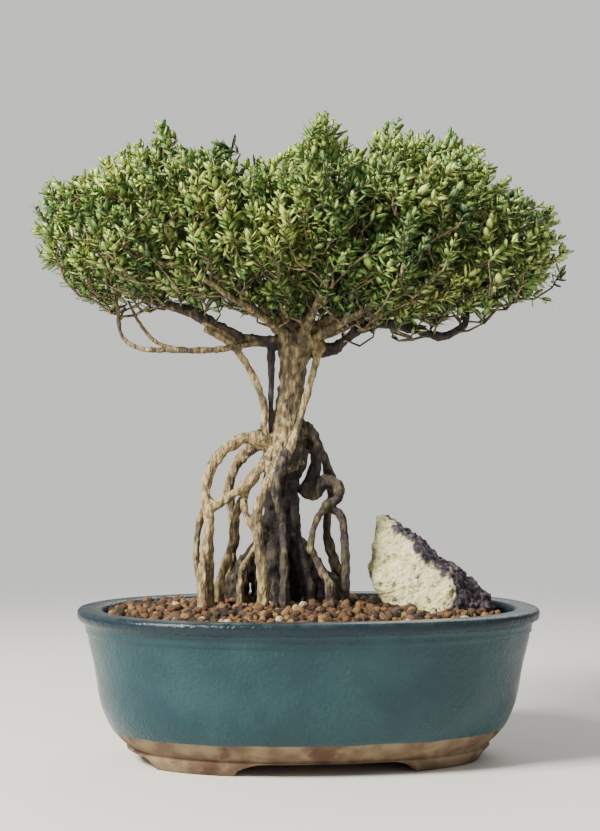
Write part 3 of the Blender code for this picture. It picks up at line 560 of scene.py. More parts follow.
def granule_mesh():
    """Granules scattered over the bed: a few noisy balls, copied with their own size and turn."""
    draw = np.random.default_rng(SOIL_SEED)
    parts = []
    for kind in range(GRANULE_KINDS):
        ball = bmesh.new()
        bmesh.ops.create_icosphere(ball, subdivisions=2, radius=1.0)
        big_shift = Vector((kind * BIG_LUMP_SHIFT, 0, 0))
        small_shift = Vector((0, kind * SMALL_LUMP_SHIFT, 0))
        for vert in ball.verts:
            big = noise.noise(vert.co * BIG_LUMP_SCALE + big_shift) * BIG_LUMP_HEIGHT
            small = noise.noise(vert.co * SMALL_LUMP_SCALE + small_shift) * SMALL_LUMP_HEIGHT
            vert.co *= 1 + big + small
        points = np.array([vert.co for vert in ball.verts])
        faces = np.array([[vert.index for vert in face.verts] for face in ball.faces])
        ball.free()
        count = GRANULE_COUNT // GRANULE_KINDS
        angle = draw.uniform(0, math.tau, count)
        share = np.sqrt(draw.uniform(0, 1, count))
        flat = np.array([oval(turn, SOIL_INSET + GRANULE_MARGIN) for turn in angle]) * share[:, None]
        size = draw.triangular(*GRANULE_RADII, count)
        heights = np.array([soil_height(x, y) for x, y in flat]) + size * draw.uniform(*GRANULE_RISE, count)
        spots = np.column_stack((flat, heights)) * MM + np.array(pot_middle)
        frames = random_turns(draw, count) * (size * MM)[:, None, None]
        frames = frames * draw.uniform(*GRANULE_STRETCH, (count, 1, 3))
        tones = np.repeat(draw.uniform(0, 1, count), len(points))
        parts.append((points, faces, frames, spots, {"tone": tones}))
    return copied_mesh("granules", parts)


def soil_material(name, by_granule):
    """Grainy baked clay. Each granule has its own shade."""
    material, shader = new_material(name, 0.9)
    tree = material.node_tree
    place = place_of(tree)
    if by_granule:
        tone = add_node(tree, "ShaderNodeAttribute", attribute_name="tone").outputs["Fac"]
    else:
        tone = mask_of(tree, place, 420.0, 0.2, 0.9, 2.0)
    ramp = add_node(tree, "ShaderNodeValToRGB")
    ramp.color_ramp.interpolation = "CONSTANT" if by_granule else "LINEAR"
    shades = ramp.color_ramp.elements
    while len(shades) < len(SOIL_SHADES):
        shades.new(0.5)
    for shade, (position, colour) in zip(shades, SOIL_SHADES):
        shade.position = position
        shade.color = (*colour, 1.0)
    tree.links.new(tone, ramp.inputs["Fac"])
    dark = mask_of(tree, place, 900.0, 0.42, 0.7, 4.0)
    colour = mix_colours(tree, product_of(tree, dark, 0.5), ramp.outputs["Color"], SOIL_SHADOW)
    dust = product_of(tree, mask_of(tree, place, 330.0, 0.5, 0.75, 5.0), 0.18)
    tree.links.new(mix_colours(tree, dust, colour, SOIL_DUST), shader.inputs["Base Color"])
    grain = mask_of(tree, place, 1500.0, 0.3, 0.7)
    tree.links.new(bump_of(tree, grain, 0.0003), shader.inputs["Normal"])
    return material


bed = new_object("soil_bed", soil_mesh(), soil_material("soil_bed", False))
granules = new_object("soil_granules", granule_mesh(), soil_material("soil_granules", True))
for piece in (bed, granules):
    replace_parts(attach(piece, "root"), "soil")


# Stone
# A weathered limestone about six centimetres wide, standing on the soil to the right of the tree.
# Its left face is pale cream and pitted; its dark purplish top and right side are crust and painted shade.
STONE_BOTTOM = 63.4
STONE_CORNERS = [
    (30, 18, 106.5), (38, 21, 103), (25.5, 13, 83), (29, 6, 74), (45, 8, 96), (52, 3, 85), (63, 1, 78),
    (64, -3, 70), (69, 12, 79), (76, 16, 74), (82, 14, 69), (44, 34, 93), (33, 31, 86), (58, 37, 79),
    (76, 30, 71), (34, 7, STONE_BOTTOM), (57, -4, STONE_BOTTOM), (78, 4, STONE_BOTTOM),
    (83, 13, STONE_BOTTOM), (35, 33, STONE_BOTTOM), (58, 39, STONE_BOTTOM), (77, 32, STONE_BOTTOM),
]
# Lumps and jags are (size, height), and pits are (size, level of the noise they start at, depth).
LONGEST_EDGES = (14.0, 10.0, 6.0)
STONE_LUMPS = ((9.0, 3.2), (4.0, 1.4))
UNDERSIDE_BAND = 0.1
UNDERSIDE_GAP = 0.6
STONE_VOXEL = 0.75
# The edge of the crust and painted shade on the front, as (x, height) points from the upper left down.
CRUST_AND_SHADE_LINE = [
    (20.0, 113.0), (31.0, 107.0), (43.0, 95.0), (51.0, 85.0), (62.0, 78.0), (64.0, 71.0), (58.0, 62.0),
]
CRUST_AND_SHADE_JAGS = ((5.0, 4.0), (1.7, 1.5))
CRUST_AND_SHADE_FADE = 1.6
CRUST_AND_SHADE_BACK = 20.0
CRUST_AND_SHADE_BACK_FADE = 4.0
KNOB_SIZE = 3.4
KNOB_HEIGHT = 2.4
GRIT_SIZE = 1.3
GRIT_HEIGHT = 0.7
STONE_PITS = ((2.6, 0.12, 3.4), (1.1, 0.2, 1.3))
PIT_SHARE = 0.8
STONE_WEAR = 0.3
UNDERSIDE_SMOOTH = 0.4
LIMESTONE_CREAM = (0.88, 0.84, 0.45)
LIMESTONE_TAN = (0.68, 0.64, 0.34)
LIMESTONE_GREY = (0.24, 0.25, 0.17)
CRUST_AND_SHADE_DARK = (0.030, 0.024, 0.034)
CRUST_AND_SHADE_PURPLE = (0.10, 0.075, 0.095)
CRUST_AND_SHADE_PALE = (0.33, 0.28, 0.27)


def crust_and_shade_share(spot):
    """How far a place on the stone's front lies past the edge of the crust and painted shade, in millimetres.
    """
    x, z = spot.x, spot.z
    gap = 1e3
    for (x0, z0), (x1, z1) in zip(CRUST_AND_SHADE_LINE, CRUST_AND_SHADE_LINE[1:]):
        run = Vector((x1 - x0, z1 - z0))
        way = Vector((x - x0, z - z0))
        share = min(1.0, max(0.0, way.dot(run) / run.length_squared))
        away = way - run * share
        side = math.copysign(1.0, run.y * way.x - run.x * way.y)
        if away.length < abs(gap):
            gap = -side * away.length
    return gap


def lumps_at(spot, lumps):
    """Noise at a place, added up over lumps that each have a size and a height."""
    return sum(noise.noise(spot / size) * height for size, height in lumps)


def stone_mesh():
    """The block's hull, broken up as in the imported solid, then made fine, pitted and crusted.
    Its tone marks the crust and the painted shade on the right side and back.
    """
    shape = bmesh.new()
    for corner in STONE_CORNERS:
        shape.verts.new(corner)
    hull = bmesh.ops.convex_hull(shape, input=shape.verts)
    bmesh.ops.delete(shape, geom=list(set(hull["geom_interior"])), context="VERTS")
    for longest in LONGEST_EDGES:
        long_edges = [edge for edge in shape.edges if edge.calc_length() > longest]
        bmesh.ops.subdivide_edges(shape, edges=long_edges, cuts=1, use_grid_fill=True)
        bmesh.ops.triangulate(shape, faces=shape.faces[:])
    centre = sum((vert.co for vert in shape.verts), Vector()) / len(shape.verts)
    for vert in shape.verts:
        if vert.co.z > STONE_BOTTOM + UNDERSIDE_BAND:
            push = lumps_at(turn_to_front @ vert.co, STONE_LUMPS)
            vert.co += (vert.co - centre).normalized() * push
            vert.co.z = max(vert.co.z, STONE_BOTTOM + UNDERSIDE_GAP)
    bmesh.ops.recalc_face_normals(shape, faces=shape.faces)
    rough = new_object("stone_rough", mesh_from(shape, "stone_rough"))
    fine = rough.modifiers.new("fine", "REMESH")
    fine.mode = "VOXEL"
    fine.voxel_size = STONE_VOXEL
    mesh = baked(rough)
    normals = [vert.normal.copy() for vert in mesh.vertices]
    tones = []
    for vert, normal in zip(mesh.vertices, normals):
        spot = vert.co.copy()
        edge = (crust_and_shade_share(spot) + lumps_at(spot, CRUST_AND_SHADE_JAGS)) / CRUST_AND_SHADE_FADE + 0.5
        crust_and_shade = min(1.0, max(0.0, edge))
        # Everything behind is dark too: crust and painted shade on the side turned from the light.
        if spot.y > CRUST_AND_SHADE_BACK:
            crust_and_shade = max(crust_and_shade, min(1.0, (spot.y - CRUST_AND_SHADE_BACK) / CRUST_AND_SHADE_BACK_FADE))
        pits = sum(max(0.0, noise.noise(spot / size) - start) * depth for size, start, depth in STONE_PITS)
        knobs = abs(noise.noise(spot / KNOB_SIZE)) * KNOB_HEIGHT + noise.noise(spot / GRIT_SIZE) * GRIT_HEIGHT
        if spot.z > STONE_BOTTOM + UNDERSIDE_SMOOTH:
            vert.co += normal * (knobs * crust_and_shade - pits * (1 - crust_and_shade) * PIT_SHARE - STONE_WEAR)
        vert.co.z = max(vert.co.z, STONE_BOTTOM)
        tones.append(crust_and_shade)
    for vert in mesh.vertices:
        vert.co = placed(*vert.co)
    mesh.attributes.new("tone", "FLOAT", "POINT").data.foreach_set("value", tones)
    mesh.polygons.foreach_set("use_smooth", [True] * len(mesh.polygons))
    return mesh


def stone_material():
    """Cream limestone with grey-green pits, and a dark purplish crust that also paints the shade of the right
    side and back.
    """
    material, shader = new_material("stone", 0.9)
    tree = material.node_tree
    place = place_of(tree)
    crust_and_shade = add_node(tree, "ShaderNodeAttribute", attribute_name="tone").outputs["Fac"]
    veins = mask_of(tree, place, 190.0, 0.35, 0.65, 5.0)
    pale = mix_colours(tree, veins, LIMESTONE_CREAM, LIMESTONE_TAN)
    pale = mix_colours(tree, mask_of(tree, place, 520.0, 0.56, 0.68, 4.0), pale, LIMESTONE_GREY)
    blotches = mask_of(tree, place, 260.0, 0.4, 0.62, 5.0)
    # These dark crust colours also paint the shade of the stone's right side and back.
    dark = mix_colours(tree, blotches, CRUST_AND_SHADE_DARK, CRUST_AND_SHADE_PURPLE)
    dark = mix_colours(tree, mask_of(tree, place, 500.0, 0.6, 0.74, 4.0), dark, CRUST_AND_SHADE_PALE)
    tree.links.new(mix_colours(tree, crust_and_shade, pale, dark), shader.inputs["Base Color"])
    grain = mask_of(tree, place, 800.0, 0.3, 0.7, 5.0)
    tree.links.new(bump_of(tree, grain, 0.0005), shader.inputs["Normal"])
    return material


stone = new_object("stone_weathered", stone_mesh(), stone_material())
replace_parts(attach(stone, "root"), "stone")


# Trunk, roots and branches
# Old serissa wood: roots that were once buried stand free as pale, twisted strands round a core
# in shade, a short trunk forks above them, and grey branches spread low to both sides.
# Each line is (x, y, height, radius) points, and the number before it says how pale its bark is.
# That number is partly the bark's own colour and partly painted light and shade: high on strands
# lit from the left, low on the strands to the right, and lowest on the core, painted as shadow.
TRUNK = [
    (-11, 0, 128, 10.0), (-11, 0, 141, 8.2), (-10, 0, 152, 6.0), (-8, 0, 163, 5.8),
    (-7, 0, 173, 6.2), (-6, 0, 181, 8.6), (-5, 0, 188, 6.5), (-4, 0, 194, 2.5),
]
BARE_STEMS = {
    "pale_left": (1.0, [
        (-17, -6, 132, 1.8), (-20, -7, 143, 1.8), (-20, -7, 154, 1.7), (-24, -6, 165, 1.7),
        (-29, -5, 174, 1.7), (-36, -4, 182, 1.8), (-46, -3, 188, 1.6),
    ]),
    "dark_left": (0.1, [
        (-16, -2, 136, 1.6), (-17, -4, 150, 1.4), (-17, -4, 162, 1.4), (-17, -2, 181, 1.8),
    ]),
    "pale_right": (1.0, [
        (-10, -9, 131, 1.9), (-6, -9, 143, 1.7), (-2, -9, 156, 1.6), (1, -8, 167, 1.6), (5, -4, 182, 1.9),
    ]),
    "low_left": (0.55, [
        (-24, -3, 182, 1.6), (-36, -6, 179, 1.5), (-48, -8, 178, 1.4), (-65, -9, 178, 1.2),
        (-75, -9, 179, 1.1), (-82, -8, 184, 1.0), (-84, -7, 194, 0.9), (-85, -6, 206, 0.8),
    ]),
    "low_left_twig": (0.6, [
        (-52, -8, 178, 1.1), (-66, -7, 181, 1.0), (-74, -5, 189, 0.9), (-80, -4, 200, 0.8),
    ]),
}
BRANCHES = {
    "left_main": (0.35, [
        (-6, 0, 181, 4.5), (-19, -1, 182, 3.2), (-31, -2, 186, 2.8), (-51, -3, 193, 2.5),
        (-70, -3, 201, 2.1), (-85, -2, 210, 1.6), (-96, 0, 220, 1.2),
    ]),
    "left_upper": (0.5, [
        (-8, 0, 184, 3.4), (-21, -5, 199, 2.0), (-34, -10, 209, 1.8),
        (-50, -14, 219, 1.5), (-64, -16, 228, 1.2),
    ]),
    "left_back": (0.4, [
        (-8, 3, 183, 3.2), (-24, 16, 197, 2.0), (-42, 27, 207, 1.7),
        (-62, 32, 217, 1.4), (-78, 30, 226, 1.1),
    ]),
    "left_front": (0.6, [
        (-8, -3, 182, 3.0), (-20, -17, 193, 1.9), (-34, -29, 202, 1.6),
        (-54, -34, 210, 1.3), (-72, -32, 216, 1.1),
    ]),
    "middle_front": (0.55, [
        (-4, -4, 183, 3.0), (0, -18, 195, 1.8), (6, -31, 205, 1.5), (9, -42, 214, 1.2),
    ]),
    "middle_back": (0.4, [(-4, 4, 183, 3.0), (-5, 19, 196, 1.8), (-8, 32, 208, 1.5), (-8, 42, 220, 1.2)]),
    "middle_left_top": (0.3, [
        (-6, 0, 184, 3.6), (-14, -4, 198, 2.0), (-15, -3, 214, 1.7), (-17, 2, 232, 1.3),
    ]),
    "middle_top": (0.5, [
        (-3, 0, 184, 3.6), (2, -2, 199, 2.2), (3, -1, 216, 1.8), (6, 0, 232, 1.5), (8, 0, 246, 1.1),
    ]),
    "right_top": (0.65, [
        (-2, 0, 184, 3.6), (11, 3, 197, 2.0), (22, 5, 211, 1.8), (31, 5, 226, 1.5), (37, 3, 242, 1.1),
    ]),
    "right_upper": (0.55, [
        (-1, 0, 183, 3.4), (18, 6, 192, 2.1), (37, 9, 202, 1.8), (54, 10, 214, 1.5), (66, 8, 230, 1.1),
    ]),
    "right_back": (0.4, [
        (-1, 3, 182, 3.2), (16, 17, 193, 2.0), (34, 28, 203, 1.7), (54, 32, 213, 1.4), (70, 28, 223, 1.1),
    ]),
    "right_front": (0.55, [
        (-1, -3, 182, 3.0), (14, -16, 191, 1.9), (32, -28, 199, 1.6),
        (52, -31, 206, 1.3), (68, -26, 214, 1.1),
    ]),
    "right_main": (0.15, [
        (-5, 0, 180, 4.5), (8, -1, 180, 3.0), (14, -2, 184, 2.4), (22, -3, 188, 2.3), (34, -4, 189, 2.2),
        (46, -5, 187, 2.3), (55, -5, 186, 2.0), (64, -5, 187, 1.8), (69, -4, 192, 1.6),
        (71, -3, 201, 1.4), (80, -1, 210, 1.1),
    ]),
}
ROOTS = {
    "arch_left": (0.8, [
        (-13, -5, 138, 4.0), (-26, -8, 140, 3.0), (-34, -11, 137, 2.6), (-40, -13, 131, 2.5),
        (-45, -15, 118, 2.3), (-44, -17, 103, 2.5), (-44, -20, 88, 2.4), (-46, -22, 76, 2.4),
    ]),
    "diagonal": (0.85, [
        (-13, -7, 137, 3.6), (-21, -11, 128, 2.6), (-30, -14, 119, 2.4), (-43, -17, 109, 2.0),
    ]),
    "inner_left": (0.65, [
        (-22, -11, 126, 2.2), (-29, -12, 116, 2.0), (-32, -10, 104, 2.0),
        (-33, -8, 94, 2.0), (-39, -10, 77, 2.4),
    ]),
    "front": (0.75, [
        (-14, -9, 131, 3.0), (-20, -15, 119, 2.2), (-22, -18, 104, 2.3),
        (-21, -19, 88, 2.2), (-20, -20, 76, 2.6),
    ]),
    "front_strand": (0.7, [
        (-29, -12, 114, 1.6), (-27, -16, 106, 1.6), (-22, -18, 95, 1.8),
        (-29, -13, 85, 1.6), (-30, -12, 76, 1.8),
    ]),
    "front_right": (0.3, [
        (-10, -8, 134, 3.2), (-15, -15, 120, 2.0), (-12, -14, 104, 1.9),
        (-12, -16, 90, 1.9), (-11, -17, 76, 2.2),
    ]),
    "far_left": (0.6, [(-43, -15, 114, 1.8), (-49, -10, 102, 1.6), (-49, -8, 88, 1.6), (-47, -8, 76, 2.0)]),
    "curl_right": (0.3, [
        (-7, 2, 145, 3.8), (1, 4, 142, 3.0), (4, 5, 133, 2.8), (2, 4, 124, 2.6), (-2, 1, 117, 2.6),
        (3, 2, 115, 2.4), (6, 3, 121, 2.6), (12, 3, 120, 2.8), (13, 2, 114, 2.4), (10, 1, 110, 2.2),
        (15, 0, 104, 2.0), (16, -1, 90, 2.0), (16, -4, 76, 2.3),
    ]),
    "strand_right": (0.4, [
        (9, 1, 112, 2.2), (3, -6, 104, 1.6), (0, -9, 94, 1.6), (3, -11, 86, 1.7), (9, -12, 76, 2.0),
    ]),
    "inner_right": (0.15, [(-8, 1, 121, 2.6), (-5, -6, 102, 1.8), (-3, -8, 90, 1.8), (0, -8, 76, 2.2)]),
    "back_left": (0.6, [
        (-15, 6, 139, 4.0), (-28, 14, 133, 2.8), (-35, 19, 118, 2.4),
        (-34, 21, 98, 2.3), (-37, 24, 76, 2.6),
    ]),
    "back": (0.5, [
        (-11, 8, 136, 4.0), (-12, 20, 128, 2.8), (-12, 27, 112, 2.5),
        (-15, 27, 94, 2.3), (-13, 31, 76, 2.7),
    ]),
    "back_right": (0.4, [
        (-6, 6, 138, 3.8), (6, 14, 131, 2.6), (11, 19, 116, 2.3), (9, 20, 98, 2.2), (14, 22, 76, 2.6),
    ]),
    # The core's near-black tone is painted shadow: the core lies in the shade cast by the strands.
    "core_left": (0.1, [(-13, 3, 138, 7.5), (-14, 6, 118, 7.0), (-16, 7, 96, 6.8), (-18, 7, 76, 8.2)]),
    "core_right": (0.05, [(-7, 3, 136, 6.5), (-9, 6, 118, 6.0), (-9, 7, 98, 5.6), (-4, 7, 76, 7.5)]),
    "buttress_left": (0.3, [(-16, 5, 96, 5.0), (-25, 5, 86, 4.6), (-32, 4, 76, 5.2)]),
    "buttress_right": (0.1, [(-8, 6, 96, 4.6), (1, 6, 84, 4.4), (8, 6, 76, 4.8)]),
    "buttress_front": (0.2, [(-13, 1, 98, 4.6), (-14, -6, 86, 4.2), (-13, -8, 76, 4.8)]),
    "buttress_back": (0.2, [(-13, 9, 98, 4.6), (-14, 16, 86, 4.4), (-15, 19, 76, 5.0)]),
}
TRUNK_TONE = 0.55
TRUNK_KNOTS = 0.1
ROOT_KNOTS = 0.35
BRANCH_KNOTS = 0.25
KNOT_SPACING = 5.0
ROOT_WANDER = 2.6
BRANCH_WANDER = 4.0
WANDER_SPACING = 9.0
WANDER_ASIDES = ((21.3, 0, 0), (0, 21.3, 0), (0, 0, 21.3))
ROOT_END = 58.0
LINE_STEP = 1.5
WOOD_SIDES = 8
WOOD_VOXEL = 0.6
WOOD_SMOOTHING = 2
GROOVE_WIDTH = 1.3
GROOVE_LENGTH = 5.5
LUMP_SPACING = 3.2
LUMP_SHARE = 1.2
BARK_DEPTH = 0.8
BARK_SHARE = 0.2
LUMP_TONE = 0.25
GROOVE_TONE = 0.18
BARK_STRETCH = (1.0, 1.0, 0.25)
BARK_BLACK = (0.014, 0.011, 0.014)
BARK_BROWN = (0.050, 0.038, 0.034)
BARK_TAN = (0.17, 0.115, 0.048)
BARK_PALE_AND_LIT = (0.50, 0.385, 0.185)
BARK_PAINTED_SHADE = (0.060, 0.050, 0.030)
BARK_CRACK = (0.035, 0.026, 0.022)


def gnarled(line, wander):
    """Bends the inner points of a line to and fro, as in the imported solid."""
    bent = [line[0]]
    for *place, radius in line[1:-1]:
        spot = Vector(place) / WANDER_SPACING
        shift = [noise.noise(spot + Vector(aside)) * wander for aside in WANDER_ASIDES]
        bent.append((*(Vector(place) + Vector(shift)), radius))
    return bent + [line[-1]]


def flowing(line, knots):
    """A smooth row of points through those of a line, with knotty changes of thickness."""
    points = np.array([line[0], *line, line[-1]], dtype=float)
    row = []
    for before, start, end, after in zip(points, points[1:], points[2:], points[3:]):
        steps = max(2, round(float(np.linalg.norm(end[:3] - start[:3])) / LINE_STEP))
        for share in np.arange(steps) / steps:
            bend = 2 * before - 5 * start + 4 * end - after
            turn = 3 * start - before - 3 * end + after
            row.append(0.5 * (2 * start + (end - before) * share + bend * share ** 2 + turn * share ** 3))
    row.append(points[-1])
    for spot in row:
        spot[3] *= 1 + knots * noise.noise(Vector(spot[:3]) / KNOT_SPACING)
    return row


def tubes(name, rows, sides):
    """Round tubes along rows of points in millimetres, as one mesh in metres."""
    curve = bpy.data.curves.new(name, "CURVE")
    curve.dimensions = "3D"
    curve.bevel_depth = MM
    curve.bevel_resolution = (sides - 4) // 2
    curve.use_fill_caps = True
    for row in rows:
        spline = curve.splines.new("POLY")
        spline.points.add(len(row) - 1)
        for slot, spot in zip(spline.points, row):
            slot.co = (*placed(*spot[:3]), 1.0)
            slot.radius = spot[3]
    return baked(new_object(name, curve))


def wood_mesh(name, rows, tones):
    """Grows the tubes together, cuts bark into them and gives each point the tone of its strand,
    with painted shade in the grooves and painted light on the raised lumps.
    """
    thing = new_object(name, tubes(name, rows, WOOD_SIDES))
    grown = thing.modifiers.new("grown", "REMESH")
    grown.mode = "VOXEL"
    grown.voxel_size = WOOD_VOXEL * MM
    worn = thing.modifiers.new("worn", "SMOOTH")
    worn.iterations = WOOD_SMOOTHING
    mesh = baked(thing)
    strands = kdtree.KDTree(sum(len(row) for row in rows))
    owners = []
    for row, tone in zip(rows, tones):
        for spot in row:
            strands.insert(placed(*spot[:3]), len(owners))
            owners.append((tone, spot[3]))
    strands.balance()
    normals = [vert.normal.copy() for vert in mesh.vertices]
    shades = []
    for vert, normal in zip(mesh.vertices, normals):
        _, owner, _ = strands.find(vert.co)
        tone, radius = owners[owner]
        spot = vert.co / MM
        grooves = noise.noise(Vector((spot.x / GROOVE_WIDTH, spot.y / GROOVE_WIDTH, spot.z / GROOVE_LENGTH)))
        lumps = noise.noise(spot / LUMP_SPACING)
        depth = min(BARK_DEPTH, radius * BARK_SHARE)
        vert.co += normal * (grooves * depth + lumps * depth * LUMP_SHARE) * MM
        # The tone rises on the lumps and ridges and falls in the grooves: painted light and shade that follow
        # the cut bark.
        shades.append(min(1.0, max(0.0, tone + lumps * LUMP_TONE + grooves * GROOVE_TONE)))
    mesh.attributes.new("tone", "FLOAT", "POINT").data.foreach_set("value", shades)
    mesh.polygons.foreach_set("use_smooth", [True] * len(mesh.polygons))
    return mesh


def bark_material():
    """Dark fissured bark, pale on the free strands. Its palest streaks are partly painted light,
    its darkest parts partly painted shade, and its dark patches painted shade.
    """
    material, shader = new_material("bark", 0.85)
    tree = material.node_tree
    place = place_of(tree)
    tone = add_node(tree, "ShaderNodeAttribute", attribute_name="tone").outputs["Fac"]
    stretch = add_node(tree, "ShaderNodeMapping")
    stretch.inputs["Scale"].default_value = BARK_STRETCH
    tree.links.new(place, stretch.inputs["Vector"])
    lengthwise = stretch.outputs["Vector"]
    # Dark bark for low tones, partly the bark's own colour and partly painted shade on the core and shaded
    # strands.
    dark_and_shaded_bark = mix_colours(tree, mask_of(tree, place, 260.0, 0.4, 0.65, 5.0), BARK_BLACK, BARK_BROWN)
    # Pale bark for high tones, its palest streaks partly a painted highlight on strands lit from the left.
    pale_and_lit_bark = mix_colours(tree, mask_of(tree, lengthwise, 700.0, 0.35, 0.65, 4.0), BARK_TAN, BARK_PALE_AND_LIT)
    colour = mix_colours(tree, step_of(tree, tone, 0.2, 0.85), dark_and_shaded_bark, pale_and_lit_bark)
    # Dark patches along the wood are painted shade, standing for the shadows the strands cast on each other.
    painted_shade_patches = product_of(tree, mask_of(tree, place, 150.0, 0.5, 0.62, 5.0), 0.75)
    colour = mix_colours(tree, painted_shade_patches, colour, BARK_PAINTED_SHADE)
    cracks = product_of(tree, mask_of(tree, lengthwise, 1100.0, 0.56, 0.68), 0.7)
    colour = mix_colours(tree, cracks, colour, BARK_CRACK)
    tree.links.new(colour, shader.inputs["Base Color"])
    fine_grain = mask_of(tree, lengthwise, 900.0, 0.3, 0.7, 4.0)
    grain = sum_of(tree, fine_grain, mask_of(tree, place, 320.0, 0.3, 0.7))
    tree.links.new(bump_of(tree, grain, 0.0004), shader.inputs["Normal"])
    return material


bark = bark_material()
root_rows = [flowing(TRUNK, TRUNK_KNOTS)]
root_tones = [TRUNK_TONE]
for tone, line in ROOTS.values():
    strand = flowing(gnarled(line, ROOT_WANDER), ROOT_KNOTS)
    last = strand[-1]
    root_rows.append(strand + [np.array((last[0], last[1], ROOT_END, last[3]))])
    root_tones.append(tone)
branch_rows = []
branch_tones = []
for tone, line in BARE_STEMS.values():
    branch_rows.append(flowing(line, BRANCH_KNOTS))
    branch_tones.append(tone)
for tone, line in BRANCHES.values():
    branch_rows.append(flowing(gnarled(line, BRANCH_WANDER), BRANCH_KNOTS))
    branch_tones.append(tone)
roots = new_object("trunk_and_roots", wood_mesh("trunk_and_roots", root_rows, root_tones), bark)
branches = new_object("branches", wood_mesh("branches", branch_rows, branch_tones), bark)
for piece in (roots, branches):
    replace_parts(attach(piece, "root"), "trunk_roots_branches")


# Twigs
# Fine grey twigs fill the crown and end in short shoots. The crown is broad and flat below, with
# clumps of shoots and gaps between them, thick at its surface and thin at its heart.
TREE_HEART = np.array((-6.0, 0.0, 172.0))
# The crown's form in the front view, as (x, height) points and (x, half depth) points.
CROWN_TOP = [
    (-122, 236), (-118, 248), (-110, 252), (-97, 254), (-88, 262), (-81, 266), (-70, 267), (-64, 275),
    (-59, 267), (-48, 266), (-37, 267), (-33, 260), (-26, 259), (-15, 260), (-9, 264), (-4, 266),
    (0, 275), (5, 279), (11, 274), (18, 268), (24, 266), (29, 273), (35, 277), (40, 275), (49, 271),
    (64, 272), (71, 264), (75, 260), (80, 254), (90, 251), (94, 244), (104, 240), (110, 232),
]
CROWN_UNDERSIDE = [
    (-122, 226), (-108, 208), (-100, 203), (-88, 201), (-57, 201), (-30, 199), (0, 196), (30, 192),
    (60, 194), (84, 199), (100, 205), (110, 212),
]
CROWN_HALF_DEPTH = [
    (-122, 14), (-108, 32), (-90, 44), (-50, 58), (0, 63), (50, 58), (85, 46), (104, 30), (110, 18),
]
CROWN_LOW = (-122, -64, 190)
CROWN_HIGH = (110, 64, 280)
CROWN_POWER = 2.4
CROWN_OUTSIDE = 10.0
CROWN_SEED = 21
SPRIG_COUNT = 1900
SPRIG_TRIES = 7
SPRIG_DRAWS = 400
SPRIG_LENGTH = (8.0, 15.0)
SPRIG_SCATTER = 0.42
SPRIG_LIFT = 0.35
SPRIG_REACH = 0.85
CLUMP_SPACING = 17.0
CLUMP_GAP = -0.2
HEART_SHARE = 0.15
SURFACE_SHARE = 0.85
UNDERSIDE_SHARE = 0.22
UNDERSIDE_RISE = 2.2
# Single shoots that stand out of the crown in the photograph, each from its foot to its end.
SHOOTS = [
    ((-96, 0, 221), (-116, -2, 228)), ((-98, 2, 238), (-113, 0, 252)), ((-66, 0, 262), (-64, 0, 276)),
    ((4, 0, 268), (4, 0, 281)), ((86, 0, 232), (106, -2, 241)), ((88, 0, 222), (105, -4, 226)),
    ((84, 0, 212), (106, -3, 215)), ((80, -2, 208), (105, -6, 200)), ((66, 0, 262), (74, 0, 268)),
    ((58, 0, 264), (62, 0, 275)),
]
TWIG_STEP = 7.0
TWIG_STEPS = 4
TWIG_SWAY = 0.09
TWIG_RADIUS = 0.62
TWIG_TAPER = 0.2
TWIG_FOOT = 0.55
TWIG_FOOT_MORE = 0.5
TWIG_FOOT_REACH = 60.0
TWIG_RISE = 3
TWIG_DESCENT_COST = 3
# Twigs start on the branches past their first spots, and on the last spots of the leafy stems.
LIMB_BARE_SPOTS = 3
FIRST_LEAFY_STEM = 3
STEM_LEAFY_SPOTS = 6
# A shoot's radius, as (share of its length, radius) steps.
SHOOT_TAPER = ((0.0, 0.42), (0.5, 0.34), (1.0, 0.2))
TWIG_SIDES = 4
TWIG_TONES = (0.3, 0.8)


def crown_band(spots):
    """Heights of the crown's top and underside over each spot."""
    top = np.interp(spots[:, 0], *np.array(CROWN_TOP).T)
    return top, np.interp(spots[:, 0], *np.array(CROWN_UNDERSIDE).T)


def crown_depth(spots):
    """How deep each spot lies in the crown: 0 at its heart, 1 at its surface and more outside it."""
    top, underside = crown_band(spots)
    half_depth = np.interp(spots[:, 0], *np.array(CROWN_HALF_DEPTH).T)
    middle = (top + underside) / 2
    rise = np.abs((spots[:, 2] - middle) / (top - middle)) ** CROWN_POWER
    outside = (spots[:, 0] < CROWN_TOP[0][0]) | (spots[:, 0] > CROWN_TOP[-1][0])
    return np.abs(spots[:, 1] / half_depth) ** CROWN_POWER + rise + outside * CROWN_OUTSIDE


def sprig_tips(draw):
    """Tips of the shoots, each the loneliest of a few places: many at the surface, few inside."""
    tips = np.zeros((0, 3))
    while len(tips) < SPRIG_COUNT:
        spots = draw.uniform(CROWN_LOW, CROWN_HIGH, (SPRIG_DRAWS, 3))
        depth = crown_depth(spots)
        clump = np.array([noise.noise(Vector(spot) / CLUMP_SPACING) for spot in spots])
        top, underside = crown_band(spots)
        rise = (spots[:, 2] - underside) / (top - underside)
        chance = HEART_SHARE + SURFACE_SHARE * depth
        chance = chance * np.clip(rise * UNDERSIDE_RISE, UNDERSIDE_SHARE, 1.0)
        wanted = (depth < 1.0) & (clump > CLUMP_GAP) & (draw.uniform(0, 1, SPRIG_DRAWS) < chance)
        spots = spots[wanted]
        if len(spots) < SPRIG_TRIES:
            continue
        spots = spots[:SPRIG_TRIES]
        if len(tips):
            gaps = np.linalg.norm(spots[:, None] - tips[None], axis=2).min(axis=1)
        else:
            gaps = np.ones(len(spots))
        tips = np.vstack((tips, spots[gaps.argmax()]))
    return tips


def unit(vectors):
    """Vectors of length one."""
    return vectors / np.maximum(np.linalg.norm(vectors, axis=-1, keepdims=True), 1e-9)


